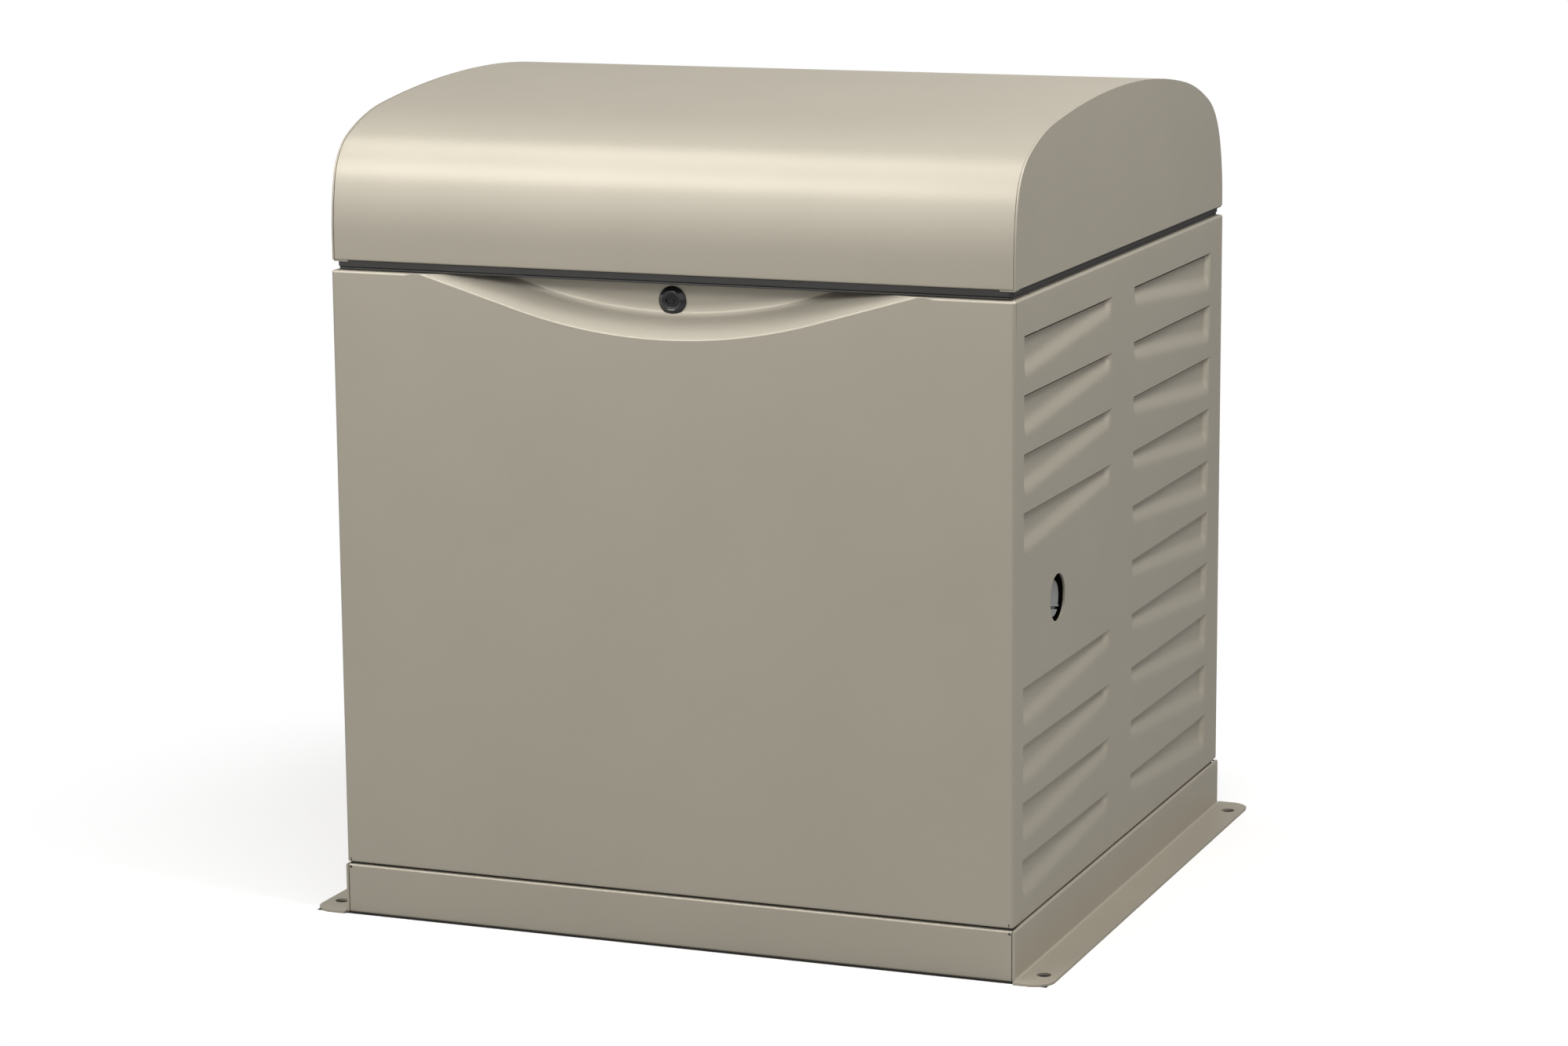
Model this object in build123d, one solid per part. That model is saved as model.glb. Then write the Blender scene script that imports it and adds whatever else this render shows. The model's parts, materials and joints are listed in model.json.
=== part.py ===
from build123d import *
import math
import os

# Home standby generator: a sheet-metal cabinet on a flanged base, with a V-twin gas engine and an
# alternator inside.  Millimetres, +Z up, front towards -Y, origin on the ground at the middle of
# the footprint.

# Cabinet
width = 700.0
depth = 700.0
half_w = width / 2
half_d = depth / 2
sheet = 2.0
bend = 3.0
base_top = 50.7
body_bottom = 52.9
body_top = 647.6
lid_bottom = 657.3
lid_top = 816.8
lid_half_depth = 347.6
lid_half_width = 349.8

# Base
rail_gauge = 2.5
rail_face = 351.5
foot_edge = 387.0
foot_end = 356.5
foot_corner = 20.0
anchor_x = 371.5
anchor_y = 322.0
anchor_r = 7.0
floor_gauge = 2.0
floor_top = base_top - rail_gauge

# Scoop in the front of the cabinet
scoop_low = 596.5
scoop_radius = 540.0
scoop_arc_half = 152.0
scoop_depth = 24.0
scoop_fillet = 18.0

# Lock
lock_z = 630.0
lock_back = 316.0
plug_r = 6.0
barrel_length = 8.0

# Louvres: one row per pitch, counted from the top
louvre_top = 612.0
louvre_pitch = 55.5
louvre_rows = 10
louvre_press = 6.0
louvre_tall = 41.0
louvre_short = 19.0
front_column = (-323.0, -47.0)
rear_column = (305.0, 26.0)

# Gas hole and gas train
gas_y = -219.0
gas_z = 345.5
gas_hole_r = 23.25
lever_x = 295.0

# Hinge of the lid
hinge_y = 352.5
hinge_z = 652.5
hinge_x = 230.0
knuckle_r = 4.0
pin_r = 2.0
running_gap = 0.05

# Engine and alternator share one shaft along X
shaft_z = 215.0
shaft_r = 16.0
cylinder_x = {"front": 60.0, "rear": 85.0}
deck = 160.0 / math.sqrt(2)
head_start = 190.0
head_end = 235.0
cover_end = 262.0
exhaust_x = -60.0
exhaust_z = 150.0
bore_r = 38.0
case_start = -5.0
case_end = 150.0
filter_x = 20.0
filter_y = -131.0
filter_z = 150.0
filler_y = 8.0
dipstick_x = 8.0
dipstick_y = 125.0
tube_top = 420.0
starter_y = -142.0
starter_z = 150.0
stator_start = -225.0
stator_end = -70.0
stator_r = 98.0
rotor_shaft_r = 15.0

# Intake and exhaust
mixer_x = 72.0
mixer_bottom = 446.0
throat_r = 13.0
tray_bottom = 500.0
tray_top = 522.0
cleaner_top = 580.0
cleaner_length = 190.0
cleaner_width = 200.0
cleaner_wall = 3.0
pipe_r = 15.0
pipe_bore = 13.0
muffler_y = 235.0
muffler_z = 150.0

# Controls on top of the control box
control_top = 590.0
button_x = (-287.0, -243.0)
button_y = -215.0
switch_x = -200.0
switch_drop = 4.0
switch_pin_r = 1.5
breaker_y = -250.0

# Battery
battery_bottom = 50.3
battery_top = 235.0
post_x = (-292.0, -152.0)
post_y = -225.0

# Prop rod of the lid
prop_x = 314.0
prop_y = 140.0
prop_z = 630.0
prop_length = 436.0
prop_r = 4.0
prop_pin_r = 3.0
lid_opening = 70.0
prop_ratio = 1.489
clip_gap = 0.8

# Rear panel
rear_louvre_top = 560.0
rear_louvre_pitch = 46.0
rear_louvre_rows = 7
screw_heights = (100.0, 250.0, 400.0, 550.0)
screw_x = 339.0
screw_r = 2.4

# Lid profile, front and rear half: end of the upright part, then (radius, slope in degrees at the
# end) of each tangent arc, seen along X; one more arc closes the crown
lid_front = (682.0, ((249.0, 77.5), (60.0, 26.2), (251.0, 8.3)))
lid_rear = (665.0, ((179.0, 70.0), (84.0, 23.3), (384.0, 8.7)))

# Feet of the engine and of the alternator
engine_foot_x = 132.0
stator_foot_x = -190.0
foot_y = 110.0
bolt_r = 4.0
rail_top = 60.0
pad_top = 84.0
engine_foot_top = 96.0
stator_foot_top = 94.0


def block(x0, x1, y0, y1, z0, z1):
    """Box from its limits along each axis."""
    centre = ((x0 + x1) / 2, (y0 + y1) / 2, (z0 + z1) / 2)
    return Pos(*centre) * Box(x1 - x0, y1 - y0, z1 - z0)


def rod(start, end, radius):
    """Cylinder between two points."""
    start = Vector(*start)
    run = Vector(*end) - start
    return extrude(Plane(start, z_dir=run) * Circle(radius), run.length)


def ring(start, end, outer, inner):
    """Tube between two points."""
    return rod(start, end, outer) - rod(start, end, inner)


def tube_along(points, radii, radius, bore=0.0):
    """Round tube along straight runs joined by arcs."""
    path = FilletPolyline(*points, radius=radii)
    section = Circle(radius)
    if bore:
        section = section - Circle(bore)
    return sweep((path ^ 0) * section, path=path)


def slab(outline, low, high):
    """Prism of a face in the XY plane between two heights."""
    return Pos(0, 0, low) * extrude(outline, high - low)


def prism_x(points, x0, x1):
    """Prism along X of a closed outline given as (y, z) points."""
    outline = make_face(Polyline([(x0, y, z) for y, z in points], close=True))
    return extrude(outline, x1 - x0, dir=(1, 0, 0))


def save(name, shape):
    """Write one node."""
    shape.label = name
    export_step(shape, os.path.join("parts", name + ".step"))
    print(name, round(shape.volume))


def group(shapes):
    """Separate solids kept in one node."""
    return Compound(children=[solid for shape in shapes for solid in shape.solids()])


# ---------------------------------------------------------------- base


def base_rail(side):
    """Folded rail: top flange inwards, web, foot flange outwards with two anchor holes."""
    web = block(rail_face - rail_gauge, rail_face, -half_d, half_d, 0, base_top)
    top = block(rail_face - 26, rail_face, -half_d + 22, half_d - 22, floor_top, base_top)
    foot = block(rail_face - rail_gauge, foot_edge, -foot_end, foot_end, 0, rail_gauge)
    foot = fillet(foot.edges().filter_by(Axis.Z).group_by(Axis.X)[-1], foot_corner)
    foot -= block(rail_face - 10, rail_face, -foot_end, -half_d, -1, rail_gauge + 1)
    foot -= block(rail_face - 10, rail_face, half_d, foot_end, -1, rail_gauge + 1)
    rail = web + top + foot
    for x, z in ((rail_face, base_top), (rail_face, rail_gauge), (rail_face - rail_gauge, 0)):
        picked = [
            e for e in rail.edges().filter_by(Axis.Y)
            if abs(e.center().X - x) < 0.01 and abs(e.center().Z - z) < 0.01
        ]
        rail = fillet(max(picked, key=lambda e: e.length), 2.4)
    for y in (-anchor_y, anchor_y):
        rail -= rod((anchor_x, y, -1), (anchor_x, y, rail_gauge + 1), anchor_r)
    if side < 0:
        rail = mirror(rail, about=Plane.YZ)
    return rail


def base_skirt(side):
    """Folded skirt between the rails, with a relief hole at each top corner."""
    reach = rail_face - rail_gauge - 0.8
    face = half_d
    skirt = block(-reach, reach, -face, -face + sheet, 0, base_top)
    skirt += block(-reach + 4, reach - 4, -face, -face + 20, base_top - sheet, base_top)
    skirt += block(-reach + 4, reach - 4, -face, -face + 20, 0, sheet)
    for z in (0, base_top):
        picked = [
            e for e in skirt.edges().filter_by(Axis.X)
            if abs(e.center().Y + face) < 0.01 and abs(e.center().Z - z) < 0.01
        ]
        skirt = fillet(picked, bend - 0.5)
    for x in (-reach + 2, reach - 2):
        skirt -= rod((x, -face - 1, base_top - 3.2), (x, -face + 3, base_top - 3.2), 1.5)
    if side > 0:
        skirt = mirror(skirt, about=Plane.XZ)
    return skirt


def base_floor():
    """Floor pan under the flanges, with the opening for the conduits."""
    edge = rail_face - rail_gauge - 0.5
    floor = block(-edge, edge, -half_d + sheet + 0.5, half_d - sheet - 0.5,
                  floor_top - floor_gauge - 0.1, floor_top - 0.1)
    floor -= block(-320, -220, 215, 315, 0, base_top)
    return floor


def base_gasket():
    """Foam strip between the base and the cabinet."""
    outer = half_w - 4
    inner = half_w - 20
    return block(-outer, outer, -outer, outer, base_top, body_bottom) - block(
        -inner, inner, -inner, inner, base_top - 1, body_bottom + 1)


# ---------------------------------------------------------------- cabinet


def pressed_louvre(start, end, tall, short, depth_in, grow):
    """Solid of one pressed louvre in local axes: u along X, up along Z, inwards along +Y.

    The tall side is at start.  Grow is the sheet thickness for the outer form, 0 for the hollow.
    """
    way = 1 if end > start else -1
    wide = [
        (start - way * grow, 0),
        (end + way * grow, 0),
        (end + way * grow, -short - grow),
        (start - way * grow, -tall - grow),
    ]
    slope = 3.0
    deep = [
        (start + way * (slope - grow), 0),
        (end - way * (2 * slope - grow), 0),
        (end - way * (2 * slope - grow), -4 - grow),
        (start + way * (slope - grow), -4 - grow),
    ]
    bottom = Wire.make_polygon([Vector(u, 0, v) for u, v in wide])
    top = Wire.make_polygon([Vector(u, depth_in + grow, v) for u, v in deep])
    return Solid.make_loft([bottom, top], ruled=True)


def louvre_forms(rows, grow):
    """All louvres of a side panel in local axes, with u along the cabinet's depth."""
    forms = []
    for first, last, used in rows:
        for row in used:
            form = pressed_louvre(first, last, louvre_tall, louvre_short, louvre_press, grow)
            forms.append(Pos(0, 0, louvre_top - row * louvre_pitch) * form)
    return forms


def scoop_outline(grow, top):
    """Crescent face in the XZ plane: an arc at the bottom, tangent lines up to the given height."""
    centre_z = scoop_low + scoop_radius
    radius = scoop_radius + grow
    angle = math.asin(scoop_arc_half / scoop_radius)
    x = radius * math.sin(angle)
    z = centre_z - radius * math.cos(angle)
    reach = x + (top - z) / math.tan(angle)
    arc = ThreePointArc((-x, 0, z), (0, 0, centre_z - radius), (x, 0, z))
    sides = Polyline((x, 0, z), (reach, 0, top), (-reach, 0, top), (-x, 0, z))
    return make_face([arc, *sides.edges()])


def scoop_form(grow, start, back):
    """Solid of the scoop from the given start plane to its back plane, rounded at the bottom."""
    high = body_top + 25
    form = Pos(0, start, 0) * extrude(scoop_outline(grow, high), back - start, dir=(0, 1, 0))
    picked = [
        e for e in form.edges()
        if abs(e.bounding_box().min.Y - back) < 0.01 and abs(e.bounding_box().max.Y - back) < 0.01
        and e.bounding_box().min.Z < high - 1 and e.bounding_box().max.Z - e.bounding_box().min.Z > 1
    ]
    return fillet(picked, scoop_fillet + grow)


def body_shell():
    """One folded sheet: front, both louvred sides, rear returns, top and bottom flanges."""
    shell = slab(RectangleRounded(width, depth, bend), body_bottom, body_top)
    shell = fillet(shell.edges().group_by(Axis.Z)[-1], bend - 0.4)
    shell = fillet(shell.edges().group_by(Axis.Z)[0], bend - 1.5)
    hollow = RectangleRounded(width - 2 * sheet, depth - 2 * sheet, bend - sheet)
    shell -= slab(hollow, body_bottom + sheet, body_top - sheet)
    shell -= block(-half_w + 20, half_w - 20, -half_d + 50, half_d + 1, body_top - 10, body_top + 1)
    shell -= block(-half_w + 18, half_w - 18, -half_d + 18, half_d + 1, 0, body_bottom + 10)
    shell -= block(-half_w + 20, half_w - 20, half_d - 10, half_d + 1, 0, body_top + 1)
    for low in (body_bottom - 1, body_top - sheet - 0.01):
        shell -= block(-half_w + sheet, half_w - sheet, half_d - 24, half_d - sheet, low, low + sheet + 2)

    keep = block(-half_w, half_w, -half_d, half_d, body_bottom, body_top)
    shell += scoop_form(sheet, -half_d, -half_d + scoop_depth + sheet) & keep
    shell -= scoop_form(0, -half_d - 1, -half_d + scoop_depth)
    shell -= rod((0, -half_d, lock_z), (0, -half_d + 40, lock_z), 9.5)
    shell -= block(-14, 52, -half_d + scoop_depth + sheet + 1, -305, body_top - 10, body_top + 1)

    every = range(louvre_rows)
    right = [(*front_column, [row for row in every if row not in (4, 5)]), (*rear_column, every)]
    left = [(*front_column, every), (*rear_column, every)]
    right_form = Location((half_w, 0, 0), (0, 0, 90))
    for rows, side in ((right, 1), (left, -1)):
        added = [right_form * form for form in louvre_forms(rows, sheet)]
        cut = [right_form * form for form in louvre_forms(rows, 0)]
        if side < 0:
            added = [mirror(form, about=Plane.YZ) for form in added]
            cut = [mirror(form, about=Plane.YZ) for form in cut]
        shell = shell.fuse(*added)
        shell = shell.cut(*cut)
    shell = shell - rod((half_w - 6, gas_y, gas_z), (half_w + 1, gas_y, gas_z), gas_hole_r)
    shell += block(prop_x + 6, half_w - 1, prop_y - 10, prop_y + 10, prop_z - 10, prop_z + 10)
    shell += rod((prop_x - 6, prop_y, prop_z), (prop_x + 7, prop_y, prop_z), prop_pin_r)
    for x in (-screw_x, screw_x):
        for z in screw_heights:
            shell -= rod((x, half_d - 3, z), (x, half_d + 1, z), screw_r + 0.2)
    for x in (-half_w, half_w):
        shell -= block(x - 0.9, x + 0.9, -half_d + 2.6, -half_d + 3.4, body_top - 11, body_top + 1)
        shell -= rod((x - 3, -323, body_bottom), (x + 3, -323, body_bottom), 1.6)
        shell -= rod((x - 3, 330, body_bottom), (x + 3, 330, body_bottom), 1.6)
    return shell


def rear_panel():
    """Louvred plate behind the rear returns, with the exhaust hole."""
    plate = block(-345, 345, half_d - 4, half_d - 2, body_bottom, body_top)
    plate += block(-345, 345, half_d - 22, half_d - 2, body_top - sheet, body_top)
    plate += block(-345, 345, half_d - 22, half_d - 2, body_bottom, body_bottom + sheet)
    added = []
    cut = []
    for row in range(rear_louvre_rows):
        for start, end in ((300, 30), (-300, -30)):
            place = Pos(0, 0, rear_louvre_top - row * rear_louvre_pitch)
            for forms, grow in ((added, sheet), (cut, 0)):
                form = pressed_louvre(start, end, 34, 20, louvre_press, grow)
                forms.append(Pos(0, half_d - 2, 0) * mirror(place * form, about=Plane.XZ))
    plate = plate.fuse(*added)
    plate = plate.cut(*cut)
    plate -= rod((exhaust_x, half_d - 6, exhaust_z), (exhaust_x, half_d, exhaust_z), 24)
    for x in (-screw_x, screw_x):
        for z in screw_heights:
            plate -= rod((x, half_d - 6, z), (x, half_d, z), screw_r + 0.2)
    return plate


def enclosure_screws():
    """Pan head screws that hold the rear panel to the returns of the cabinet."""
    screws = []
    for x in (-screw_x, screw_x):
        for z in screw_heights:
            head = rod((x, half_d, z), (x, half_d + 2.6, z), 5)
            head = fillet(head.edges().group_by(Axis.Y)[-1], 1.2)
            screws.append(head + rod((x, half_d - 6, z), (x, half_d, z), screw_r))
    return group(screws)


# ---------------------------------------------------------------- lid


def half_profile(side, inset):
    """Edges of one half of the lid's profile in the YZ plane, from the hem to the crown."""
    upright, arcs = lid_front if side < 0 else lid_rear
    y = lid_half_depth - inset
    z = upright
    edges = [Line((0, side * y, lid_bottom), (0, side * y, z))]
    slope = math.pi / 2
    for radius, end_slope in arcs:
        end_slope = math.radians(end_slope)
        points = []
        for angle in (slope, (slope + end_slope) / 2, end_slope):
            run = (radius - inset) * (math.sin(slope) - math.sin(angle))
            rise = (radius - inset) * (math.cos(angle) - math.cos(slope))
            points.append((0, side * (y - run), z + rise))
        edges.append(ThreePointArc(*points))
        y = abs(points[-1][1])
        z = points[-1][2]
        slope = end_slope
    top = lid_top - inset
    radius = (y * y + (top - z) ** 2) / (2 * (top - z))
    middle = (0, side * y / 2, top - radius + math.sqrt(radius * radius - y * y / 4))
    edges.append(ThreePointArc((0, side * y, z), middle, (0, 0, top)))
    return edges


def lid_section(inset):
    """Closed face of the lid's profile, from the hem plane up."""
    edges = half_profile(-1, inset) + half_profile(1, inset)
    y = lid_half_depth - inset
    edges.append(Line((0, -y, lid_bottom), (0, y, lid_bottom)))
    return make_face(edges)


def lid_skin():
    """Wrapped sheet from the front hem over the crown to the rear hem."""
    reach = lid_half_width - sheet - 0.3
    strip = lid_section(0) - lid_section(sheet)
    skin = Pos(-reach, 0, 0) * extrude(strip, 2 * reach, dir=(1, 0, 0))
    for low, high in ((-lid_half_depth, -lid_half_depth + 20), (lid_half_depth - 20, lid_half_depth)):
        skin += block(-reach, reach, low, high, lid_bottom, lid_bottom + sheet)
    return skin


def clip_place():
    """Where the tip of the prop rod meets the lid at full opening, seen on the closed lid."""
    swing = math.radians(lid_opening * prop_ratio)
    opening = math.radians(lid_opening)
    y = prop_y - prop_length * math.cos(swing) - hinge_y
    z = prop_z + prop_length * math.sin(swing) - hinge_z
    closed_y = y * math.cos(opening) - z * math.sin(opening)
    closed_z = y * math.sin(opening) + z * math.cos(opening)
    return Pos(0, hinge_y + closed_y, hinge_z + closed_z)


def lid_end(side):
    """End cap with a folded hem; the right one carries the clip of the prop rod."""
    hem = lid_half_depth - 22
    hem_width = 20
    cap = Pos(lid_half_width - sheet, 0, 0) * extrude(lid_section(0), sheet, dir=(1, 0, 0))
    cap += block(lid_half_width - hem_width, lid_half_width, -hem, hem, lid_bottom, lid_bottom + sheet)
    if side < 0:
        return mirror(cap, about=Plane.YZ)
    clip_half, clip_rise, clip_tilt = 10, 9, 20
    slot = prop_r + clip_gap
    clip = block(prop_x + 6, lid_half_width - 1, -clip_half, clip_half, -clip_rise, clip_rise)
    clip -= block(prop_x, prop_x + 20, -clip_half - 1, slot, -slot, slot)
    return cap + clip_place() * Rot(clip_tilt, 0, 0) * clip


def lid_gasket():
    """Foam seal under the hem of the lid."""
    outer = RectangleRounded(width - 8, 2 * (lid_half_depth - 2), 5)
    inner = RectangleRounded(width - 36, 2 * (lid_half_depth - 16), 2)
    return slab(outer - inner, body_top + 0.4, lid_bottom)


def lid_striker():
    """Keeper under the front hem: a strap with a lip that the cam turns over."""
    left, right = 18, 42
    front, strap_face, lip_front = -345, -307.5, -320
    lip_bottom, lip_gauge = 618, 2.5
    hem_top = lid_bottom + sheet
    top = block(left, right, front, strap_face, hem_top, hem_top + sheet)
    strap = block(left, right, strap_face - sheet, strap_face, lip_bottom, hem_top + sheet)
    lip = block(left, right, lip_front, strap_face, lip_bottom, lip_bottom + lip_gauge)
    return top + strap + lip


# ---------------------------------------------------------------- hinge and lock


def hinge_leaves(on_lid):
    """Both leaves of one kind: the cabinet has two outer knuckles, the lid the middle one."""
    leaves = []
    for x in (-hinge_x, hinge_x):
        if on_lid:
            plate = block(x - 38, x + 38, lid_half_depth, lid_half_depth + 3, 658, 700)
            spans = ((x - 14, x + 14),)
            tab = (lid_half_depth + 1, lid_half_depth + 3, hinge_z, 660)
        else:
            plate = block(x - 38, x + 38, half_d - 2, half_d + 1, 600, body_top - 0.2)
            spans = ((x - 38, x - 14.4), (x + 14.4, x + 38))
            tab = (half_d - 1.4, half_d + 1, body_top - 2, hinge_z)
        leaf = plate
        for start, end in spans:
            leaf += rod((start, hinge_y, hinge_z), (end, hinge_y, hinge_z), knuckle_r)
            leaf += block(start, end, *tab)
        bore = pin_r + running_gap
        leaf -= rod((x - 40, hinge_y, hinge_z), (x + 40, hinge_y, hinge_z), bore if on_lid else pin_r)
        leaves.append(leaf)
    return group(leaves)


def hinge_pins():
    """Pins held in the outer knuckles."""
    return group([rod((x - 38, hinge_y, hinge_z), (x + 38, hinge_y, hinge_z), pin_r)
                  for x in (-hinge_x, hinge_x)])


def lock_housing():
    """Bezel, barrel and nut of the cam lock."""
    bezel_r, bezel_rise, barrel_r, nut_r, nut_gauge = 14, 4, 9.4, 13, 4
    face = -half_d + scoop_depth
    bezel = rod((0, face - bezel_rise, lock_z), (0, face, lock_z), bezel_r)
    bezel = chamfer(bezel.edges().group_by(Axis.Y)[0], 1.8)
    barrel = rod((0, face, lock_z), (0, face + barrel_length, lock_z), barrel_r)
    nut = rod((0, face + sheet, lock_z), (0, face + sheet + nut_gauge, lock_z), nut_r)
    bore = rod((0, face - bezel_rise - 1, lock_z), (0, face + barrel_length + 1, lock_z),
               plug_r + running_gap)
    return bezel + barrel + nut - bore


def lock_plug():
    """Turning plug with a ring-shaped key recess around a pin."""
    recess_depth, recess_r, key_pin_r = 4, 4.6, 2.4
    face = -half_d + scoop_depth - 3.4
    plug = rod((0, face, lock_z), (0, -lock_back, lock_z), plug_r)
    recess = ring((0, face - 1, lock_z), (0, face + recess_depth, lock_z), recess_r, key_pin_r)
    bits = block(-3.4, 3.4, face + 0.8, face + recess_depth, lock_z - 1, lock_z + 1)
    return plug - recess + (bits - rod((0, face, lock_z), (0, face + 5, lock_z), key_pin_r - 0.1))


def lock_cam():
    """Cam on the back of the plug, pointing up when the lid is free."""
    gauge, hub_r, half_width, reach = 2.5, 7, 6, 30
    hub = rod((0, -lock_back, lock_z), (0, -lock_back + gauge, lock_z), hub_r)
    return hub + block(-half_width, half_width, -lock_back, -lock_back + gauge, lock_z, lock_z + reach)


def lid_prop():
    """Prop rod with an eye at its pivot and a bent tip."""
    tip = prop_y - prop_length
    eye = rod((prop_x - 4, prop_y, prop_z), (prop_x + 4, prop_y, prop_z), 8)
    arm = rod((prop_x, prop_y - 4, prop_z), (prop_x, tip, prop_z), prop_r)
    bent = rod((prop_x - prop_r, tip, prop_z), (prop_x + 14, tip, prop_z), prop_r)
    bore = rod((prop_x - 9, prop_y, prop_z), (prop_x + 9, prop_y, prop_z), prop_pin_r + running_gap)
    return eye + arm + bent - bore


# ---------------------------------------------------------------- engine


def bank(name):
    """Place of a cylinder bank: local Z along the cylinder, X along the shaft."""
    return Location((cylinder_x[name], 0, shaft_z), (45 if name == "front" else -45, 0, 0))


def crankcase():
    """Cast crankcase with sump, feet, filter boss and dipstick tube."""
    outline = [(-95, -100), (95, -100), (130, -20), (130, 30), (10, 150), (-10, 150), (-130, 30),
               (-130, -20)]
    cavity = [(-82, -88), (82, -88), (116, -18), (116, 24), (6, 134), (-6, 134), (-116, 24),
              (-116, -18)]
    wall = 13
    case = Pos(0, 0, shaft_z) * (prism_x(outline, case_start, case_end)
                                 - prism_x(cavity, case_start + wall, case_end - wall))
    for name in cylinder_x:
        case -= bank(name) * rod((0, 0, 80), (0, 0, deck + 5), bore_r)
    case += block(5, 145, -80, 80, engine_foot_top, 116)
    case += block(115, case_end, -130, 130, pad_top, engine_foot_top)
    case -= rod((case_start - 5, 0, shaft_z), (case_end + 10, 0, shaft_z), shaft_r + running_gap)
    case += rod((filter_x, -100, filter_z), (filter_x, filter_y, filter_z), 24)
    case += rod((dipstick_x, dipstick_y, 246), (dipstick_x, dipstick_y, tube_top), 6)
    case -= rod((dipstick_x, dipstick_y, 250), (dipstick_x, dipstick_y, tube_top + 1), 4)
    for y in (-foot_y, foot_y):
        case -= rod((engine_foot_x, y, 80), (engine_foot_x, y, engine_foot_top + 1), bolt_r + 0.3)
    return case


def cylinder(name):
    """Finned barrel and head."""
    fins, fin_pitch, fin_gauge, fin_size = 6, 11, 2.5, 106
    part = rod((0, 0, deck), (0, 0, head_start), 44)
    part += block(-48, 48, -48, 48, deck, deck + 6)
    for step in range(fins):
        low = deck + 12 + fin_pitch * step
        part += slab(RectangleRounded(fin_size, fin_size, 14), low, low + fin_gauge)
    part += slab(RectangleRounded(104, 100, 10), head_start, head_end)
    part -= rod((0, 0, deck - 1), (0, 0, head_start - 4), bore_r)
    return bank(name) * part


def valve_covers():
    """Rocker covers; the front one has the oil filler neck."""
    covers = []
    for name in cylinder_x:
        cover = slab(RectangleRounded(92, 86, 16), head_end, cover_end)
        cover = fillet(cover.edges().group_by(Axis.Z)[-1], 8)
        if name == "front":
            cover += rod((0, filler_y, cover_end - 2), (0, filler_y, cover_end + 6), 14)
        covers.append(bank(name) * cover)
    return group(covers)


def filler_cap():
    """Knurled cap on the filler neck."""
    grips, cap_r, low, tall = 12, 18, cover_end + 6, 14
    cap = rod((0, filler_y, low), (0, filler_y, low + tall), cap_r)
    cap = fillet(cap.edges().group_by(Axis.Z)[-1], 3)
    for step in range(grips):
        groove = rod((cap_r + 1, 0, cover_end), (cap_r + 1, 0, low + 9), 2.2)
        cap -= Pos(0, filler_y, 0) * Rot(0, 0, 360 / grips * step) * groove
    return bank("front") * cap


def dipstick():
    """Blade in the tube and a pull handle on top."""
    x, y = dipstick_x, dipstick_y
    loop_z, loop_half = 438, 6
    blade = rod((x, y, 262), (x, y, tube_top + 4), 2)
    grip = rod((x, y, tube_top + 0.4), (x, y, tube_top + 8), 8)
    loop = rod((x, y - loop_half, loop_z), (x, y + loop_half, loop_z), 11)
    loop -= rod((x, y - 15, loop_z), (x, y + 15, loop_z), 6)
    return blade + grip + loop


def crankshaft():
    """Main journals, two webs and the crank pin."""
    webs, web_gauge, web_r, throw = (44, 89), 12, 54, 28
    shaft = rod((-62, 0, shaft_z), (webs[0], 0, shaft_z), shaft_r)
    shaft += rod((webs[1] + web_gauge, 0, shaft_z), (205, 0, shaft_z), shaft_r)
    for x in webs:
        shaft += rod((x, 0, shaft_z - 8), (x + web_gauge, 0, shaft_z - 8), web_r)
    return shaft + rod((50, 0, shaft_z + throw), (95, 0, shaft_z + throw), 17)


def flywheel():
    """Disc with ring gear rim, hub and fan blades."""
    blades, rim_r, hub_r = 14, 106, 30
    wheel = rod((158, 0, shaft_z), (200, 0, shaft_z), hub_r)
    wheel += rod((160, 0, shaft_z), (170, 0, shaft_z), rim_r)
    for step in range(blades):
        blade = block(168, 198, 40, rim_r - 2, -1.5, 1.5)
        wheel += Pos(0, 0, shaft_z) * Rot(360 / blades * step, 0, 0) * blade
    return wheel - rod((150, 0, shaft_z), (210, 0, shaft_z), shaft_r)


def blower_housing():
    """Shroud around the fan, open towards the cylinders, with an inlet grille."""
    back, front, skin = 152, 215, 3
    outline = [(-120, 0), (-150, 105), (-60, 150), (60, 150), (150, 105), (120, 0)]
    inner = [(-117, 0), (-146, 103), (-59, 147), (59, 147), (146, 103), (117, 0)]
    shroud = rod((back, 0, 0), (front, 0, 0), 125) + prism_x(outline, back, front)
    shroud -= rod((back - 1, 0, 0), (front - skin, 0, 0), 122) + prism_x(inner, back - 1, front - skin)
    shroud -= rod((front - skin - 1, 0, 0), (front + 1, 0, 0), 86)
    for outer in (76, 58, 40, 22):
        shroud += ring((front - skin, 0, 0), (front, 0, 0), outer, outer - 4)
    shroud += block(front - skin, front, -88, 88, -3, 3) + block(front - skin, front, -3, 3, -88, 88)
    return Pos(0, 0, shaft_z) * shroud


def oil_filter():
    """Spin-on canister."""
    can = rod((filter_x, filter_y, filter_z), (filter_x, filter_y - 59, filter_z), 34)
    return fillet(can.edges().group_by(Axis.Y)[0], 8)


def starter_motor():
    """Starter body with solenoid stud."""
    y, z = starter_y, starter_z
    body = rod((62, y, z), (140, y, z), 28)
    body = fillet(body.edges().group_by(Axis.X)[0], 4)
    nose = rod((140, y, z), (case_end, y, z), 20)
    return body + nose + rod((72, y, z + 20), (72, y, z + 42), 4)


def intake_manifold():
    """Tube between the two intake ports with a pad for the mixer."""
    path = ((85, 114.5, 400.3), (85, 92, 422.8), (60, -92, 422.8), (60, -114.5, 400.3))
    manifold = tube_along(path, 28, 15)
    return manifold + block(50, 95, -24, 24, 420, mixer_bottom)


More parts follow.
